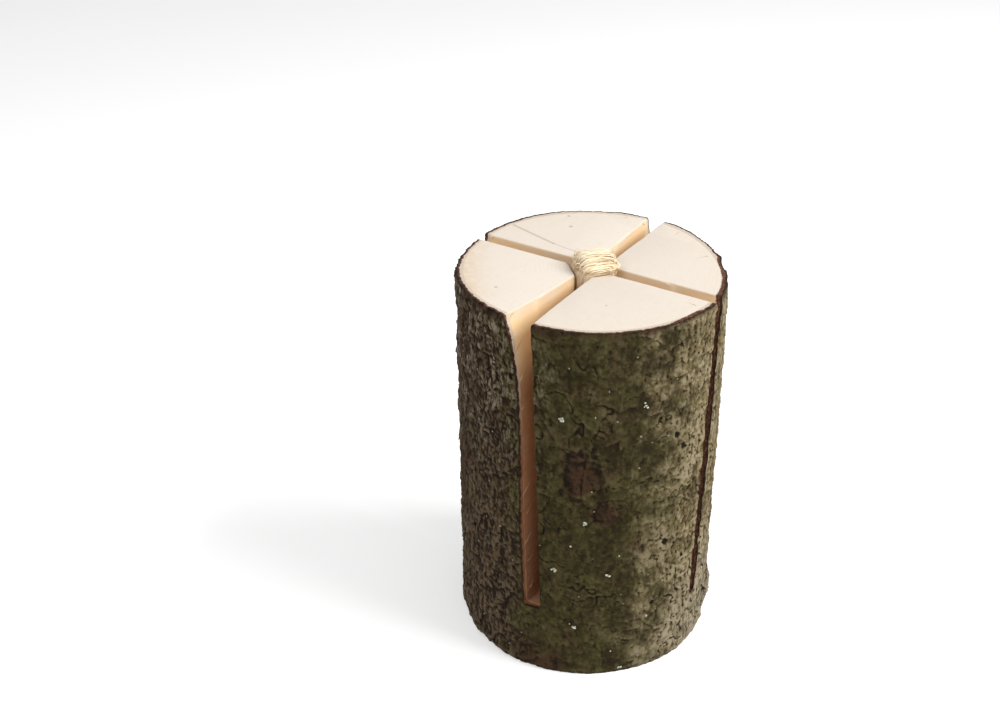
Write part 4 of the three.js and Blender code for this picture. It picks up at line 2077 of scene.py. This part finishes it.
@dataclass
class Scales:
    """Loose scales of bark that stand off the surface."""

    material: bpy.types.Material
    bark: Bark
    count: int = 210
    seed: int = 4
    size: float = 6.5 * MM
    low: float = 6 * MM
    below_top: float = 8 * MM
    cut_foot: float = 40 * MM
    across_room: float = 12 * MM
    away_room: tuple = (-14 * MM, 18 * MM)

    def blank(self) -> Piece:
        """Models one thin square plate, 1 across, lying in the XY plane.

        Returns:
            The plate.
        """
        clear_selection()
        bpy.ops.mesh.primitive_grid_add(x_subdivisions=6, y_subdivisions=7, size=1)
        piece = named("scale_blank")
        wall = piece.modifiers.new("wall", "SOLIDIFY")
        wall.thickness = 0.08
        bpy.ops.object.modifier_apply(modifier=wall.name)
        return piece

    def ragged(self, shape: Array, order: int) -> Array:
        """Gives the blank's points with a ragged outline and a curl of their own.

        Args:
            shape: The blank's points.
            order: The copy's number.

        Returns:
            The copy's points, 1 across, its root at +Y.
        """
        x, y = shape[:, 0], shape[:, 1]
        bay = noise(x * 3 + order * 7.3, y * 3 + 50, OPEN, 3)
        tooth = noise(x * 8 + order * 3.1, y * 8 + 50, OPEN, 5)
        pull = 1 - 0.5 * (2 * np.abs(x)) ** 2 * (2 * np.abs(y)) ** 2
        flat_x = x * pull + 0.15 * bay + 0.07 * tooth
        flat_y = y * pull + 0.15 * noise(x * 3 + 80, y * 3 + order * 5.7, OPEN, 7) - 0.07 * tooth
        curl = 0.24 * np.clip(0.5 - y, 0, 1) ** 1.6 + 0.14 * x**2 + 0.05 * bay
        return np.stack([flat_x, flat_y, shape[:, 2] + curl], axis=1)

    def build(self) -> Piece:
        """Copies the scale over the bark, each copy turned and sized by chance.

        Returns:
            The piece.
        """
        draw = np.random.default_rng(self.seed)
        blank, trunk = self.blank(), self.bark.trunk
        shape = read_points(blank)
        pieces = []
        while len(pieces) < self.count:
            turn, z = draw.uniform(0, FULL, 1), draw.uniform(self.low, trunk.height - self.below_top, 1)
            keep = 0.03 + 0.97 * float(self.bark.map.read("rough", turn, z)[0])
            if draw.uniform() > keep or self.in_cut(float(turn[0]), float(z[0])):
                continue
            copy = copied(blank)
            self.place(copy, self.ragged(shape, len(pieces)), float(turn[0]), float(z[0]), draw)
            pieces.append(copy)
        bpy.data.objects.remove(blank)
        piece = join("bark_scales", pieces)
        smooth(piece, 50)
        give_materials(piece, self.material)
        return piece

    def in_cut(self, turn: float, z: float) -> bool:
        """Says whether a scale would hang over a saw cut.

        Args:
            turn: The scale's turn.
            z: Its height.

        Returns:
            Whether it would.
        """
        radius = self.bark.trunk.top_radius
        x, y = radius * math.cos(turn), radius * math.sin(turn)
        near, far = self.away_room
        return z > self.cut_foot and (abs(y) < self.across_room or near < x < far)

    def place(self, copy: Piece, shape: Array, turn: float, z: float, draw: Draw) -> None:
        """Lays one copy on the bark and stores what the bark's material reads.

        Args:
            copy: The copy.
            shape: Its points, 1 across.
            turn: Its turn.
            z: Its height.
            draw: Where random numbers come from.
        """
        wide, tall = draw.uniform(0.5, 1.1) * self.size, draw.uniform(0.7, 1.6) * self.size
        spin = draw.normal(0, 0.45)
        x = shape[:, 0] * wide * math.cos(spin) - shape[:, 1] * tall * math.sin(spin)
        up = shape[:, 0] * wide * math.sin(spin) + shape[:, 1] * tall * math.cos(spin)
        out = shape[:, 2] * self.size * draw.uniform(0.35, 1.0)
        turns = np.full(len(shape), turn) + x / self.bark.trunk.top_radius
        heights = np.clip(z + up, 0.5 * MM, self.bark.trunk.height - 0.5 * MM)
        relief = self.bark.map.read("height", turns, heights)
        relief = 0.3 * relief + 0.7 * relief.mean()
        base = self.bark.outer_radius(turns, heights, relief) - 0.3 * MM
        write_points(copy, keep_inside(from_polar(turns, base + out, heights)))
        numbers = {name: self.bark.map.read(name, turns, heights) for name in self.bark.map.layers}
        numbers.pop("height")
        numbers["seam"] = numbers["seam"] * 0
        # Painted shade where a loose scale lies on the bark, lighter where it curls off.
        numbers["hollow"] = np.clip(0.55 - 0.5 * shape[:, 2] * 4, 0.1, 0.6)
        numbers["tone"] = np.full(len(shape), draw.uniform(0.2, 1.0))
        for name, values in numbers.items():
            write_number(copy, name, values)


@dataclass
class Lichen:
    """Small crumbs of lichen that stand on the bark."""

    bark: Bark
    extra: int = 20
    seed: int = 8
    size: float = 0.9 * MM
    crumbs_each: int = 4
    low: float = 8 * MM
    high: float = 0.285

    def build(self) -> Piece:
        """Copies a crumb onto each lichen speck and onto places drawn by chance.

        Returns:
            The piece.
        """
        draw = np.random.default_rng(self.seed)
        clear_selection()
        bpy.ops.mesh.primitive_ico_sphere_add(subdivisions=2, radius=1)
        blank = named("crumb_blank")
        shape = read_points(blank)
        places = [(math.radians(a), z * MM) for a, z in self.bark.specks for _ in range(self.crumbs_each)]
        spread = [(draw.uniform(0, FULL), draw.uniform(self.low, self.high)) for _ in range(self.extra)]
        pieces = []
        for order, (turn, z) in enumerate([*places, *spread]):
            turn, z = turn + draw.normal(0, 0.012), max(3 * MM, z + draw.normal(0, 1.2 * MM))
            lumps = 1 + 0.4 * noise(shape[:, 0] * 2 + order, shape[:, 1] * 2 + shape[:, 2], OPEN, 5)
            size = self.size * draw.uniform(0.35, 1.0)
            around = shape * lumps[:, None] * size
            turns = turn + around[:, 0] / self.bark.trunk.top_radius
            heights = z + around[:, 1]
            relief = self.bark.map.read("height", np.array([turn]), np.array([z]))[0]
            base = self.bark.outer_radius(turns, heights, np.full(len(turns), relief))
            copy = copied(blank)
            write_points(copy, from_polar(turns, base + around[:, 2] * 0.45, heights))
            pieces.append(copy)
        bpy.data.objects.remove(blank)
        piece = join("lichen_crumbs", pieces)
        smooth(piece, 60)
        give_materials(piece, LichenFinish().material())
        return piece


@dataclass
class Studio:
    """A plain pale floor, soft light and the camera at the photograph's angle."""

    camera_place: tuple = (0.3885, -0.7204, 0.7070)
    camera_pitch: float = 30.54
    camera_heading: float = 33.0
    camera_roll: float = -0.46
    lens: float = 45.77
    key_turn: float = 18
    key_reach: float = 1.7
    key_height: float = 1.55
    key_size: float = 1.3
    key_power: float = 51
    fill_left: float = 1.0
    fill_near: float = 0.9
    fill_height: float = 1.6
    fill_size: float = 1.2
    fill_power: float = 14.5
    sky_power: float = 0.47
    floor_glow: float = 0.25
    aim_height: float = 0.15

    def build(self) -> None:
        """Builds the whole studio."""
        self.floor()
        self.camera()
        self.sky()
        heading = math.radians(self.camera_heading)
        right = Vector((math.cos(heading), math.sin(heading), 0))
        away = Vector((-right.y, right.x, 0))
        from_key = Matrix.Rotation(math.radians(self.key_turn), 3, "Z") @ Vector((1, 0, 0))
        key = from_key * self.key_reach + Vector((0, 0, self.key_height))
        fill = -right * self.fill_left - away * self.fill_near + Vector((0, 0, self.fill_height))
        self.lamp("key", key, self.key_size, self.key_power)
        self.lamp("fill", fill, self.fill_size, self.fill_power)

    def floor(self) -> None:
        """Adds the floor."""
        clear_selection()
        bpy.ops.mesh.primitive_plane_add(size=60, location=(0, 0, -0.05 * MM))
        floor = named("floor")
        graph = Graph("pale_floor")
        grain = graph.noise(graph.place(), 0.4, 2)
        colour = graph.mix((0.93, 0.93, 0.93), (0.95, 0.95, 0.95), grain)
        glow = {"Emission_Color": (1.0, 1.0, 1.0), "Emission_Strength": self.floor_glow}
        floor.data.materials.append(graph.finish(colour, 0.9, graph.bump(grain, 0.01 * MM), **glow))

    def camera(self) -> None:
        """Adds the camera."""
        data = bpy.data.cameras.new("camera")
        data.lens = self.lens
        data.sensor_width = 36
        camera = bpy.data.objects.new("camera", data)
        bpy.context.scene.collection.objects.link(camera)
        heading = Matrix.Rotation(math.radians(self.camera_heading), 4, "Z")
        tilt = Matrix.Rotation(math.radians(90 - self.camera_pitch), 4, "X")
        roll = Matrix.Rotation(math.radians(self.camera_roll), 4, "Z")
        camera.matrix_world = Matrix.Translation(self.camera_place) @ heading @ tilt @ roll
        bpy.context.scene.camera = camera

    def sky(self) -> None:
        """Adds even white light from all round."""
        world = bpy.data.worlds.new("studio")
        world.use_nodes = True
        background = world.node_tree.nodes["Background"]
        background.inputs["Color"].default_value = (1.0, 1.0, 1.0, 1.0)
        background.inputs["Strength"].default_value = self.sky_power
        bpy.context.scene.world = world
        bpy.context.scene.view_settings.view_transform = "Standard"

    def lamp(self, name: str, place: Vector, size: float, power: float) -> None:
        """Adds a soft square lamp that faces the log's middle.

        Args:
            name: The lamp's name.
            place: Where it hangs.
            size: Its side.
            power: Its watts.
        """
        data = bpy.data.lights.new(name, "AREA")
        data.size = size
        data.energy = power
        lamp = bpy.data.objects.new(name, data)
        bpy.context.scene.collection.objects.link(lamp)
        lamp.location = place
        aim = Vector((0, 0, self.aim_height)) - place
        lamp.rotation_euler = aim.to_track_quat("-Z", "Y").to_euler()


def hand_over(piece: Piece, slot: str, *nodes: str) -> None:
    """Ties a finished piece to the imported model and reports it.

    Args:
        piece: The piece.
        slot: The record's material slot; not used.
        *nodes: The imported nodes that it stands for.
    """
    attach(piece, "root")
    if nodes:
        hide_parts(*nodes)
    triangles = sum(len(polygon.vertices) - 2 for polygon in piece.data.polygons)
    LOG.info("%s: %d triangles", piece.name, triangles)


def main() -> None:
    """Builds every piece in order."""
    logging.basicConfig(level=logging.INFO, format="%(name)s: %(message)s")
    trunk = Trunk(height=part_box("wood")[1].z)
    across = SawCut(trunk, Along.X, floor=47 * MM, start=1.5 * MM, drift=-6 * MM, seed=1)
    broken = {"flare": 10 * MM, "far_splay": 1.6 * MM, "near_open": (1.7 * MM, 5.4 * MM)}
    away = SawCut(trunk, Along.Y, floor=59 * MM, start=2 * MM, drift=7 * MM, seed=2, **broken)
    cutters = [across.cutter(), away.cutter()]
    bark = Bark(trunk)
    bands = bark.build(cutters)
    for piece in bands:
        hand_over(piece, "bark", "bark")
    hand_over(Wood(trunk).build(cutters), "wood", "wood")
    for cutter in cutters:
        bpy.data.objects.remove(cutter)
    wick = Wick(trunk, foot=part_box("wick")[0].z)
    hand_over(wick.build(), "wick", "wick")
    hand_over(Scales(bands[0].data.materials[0], bark).build(), "bark")
    hand_over(Lichen(bark).build(), "bark")
    Studio().build()


if __name__ == "__main__":
    main()
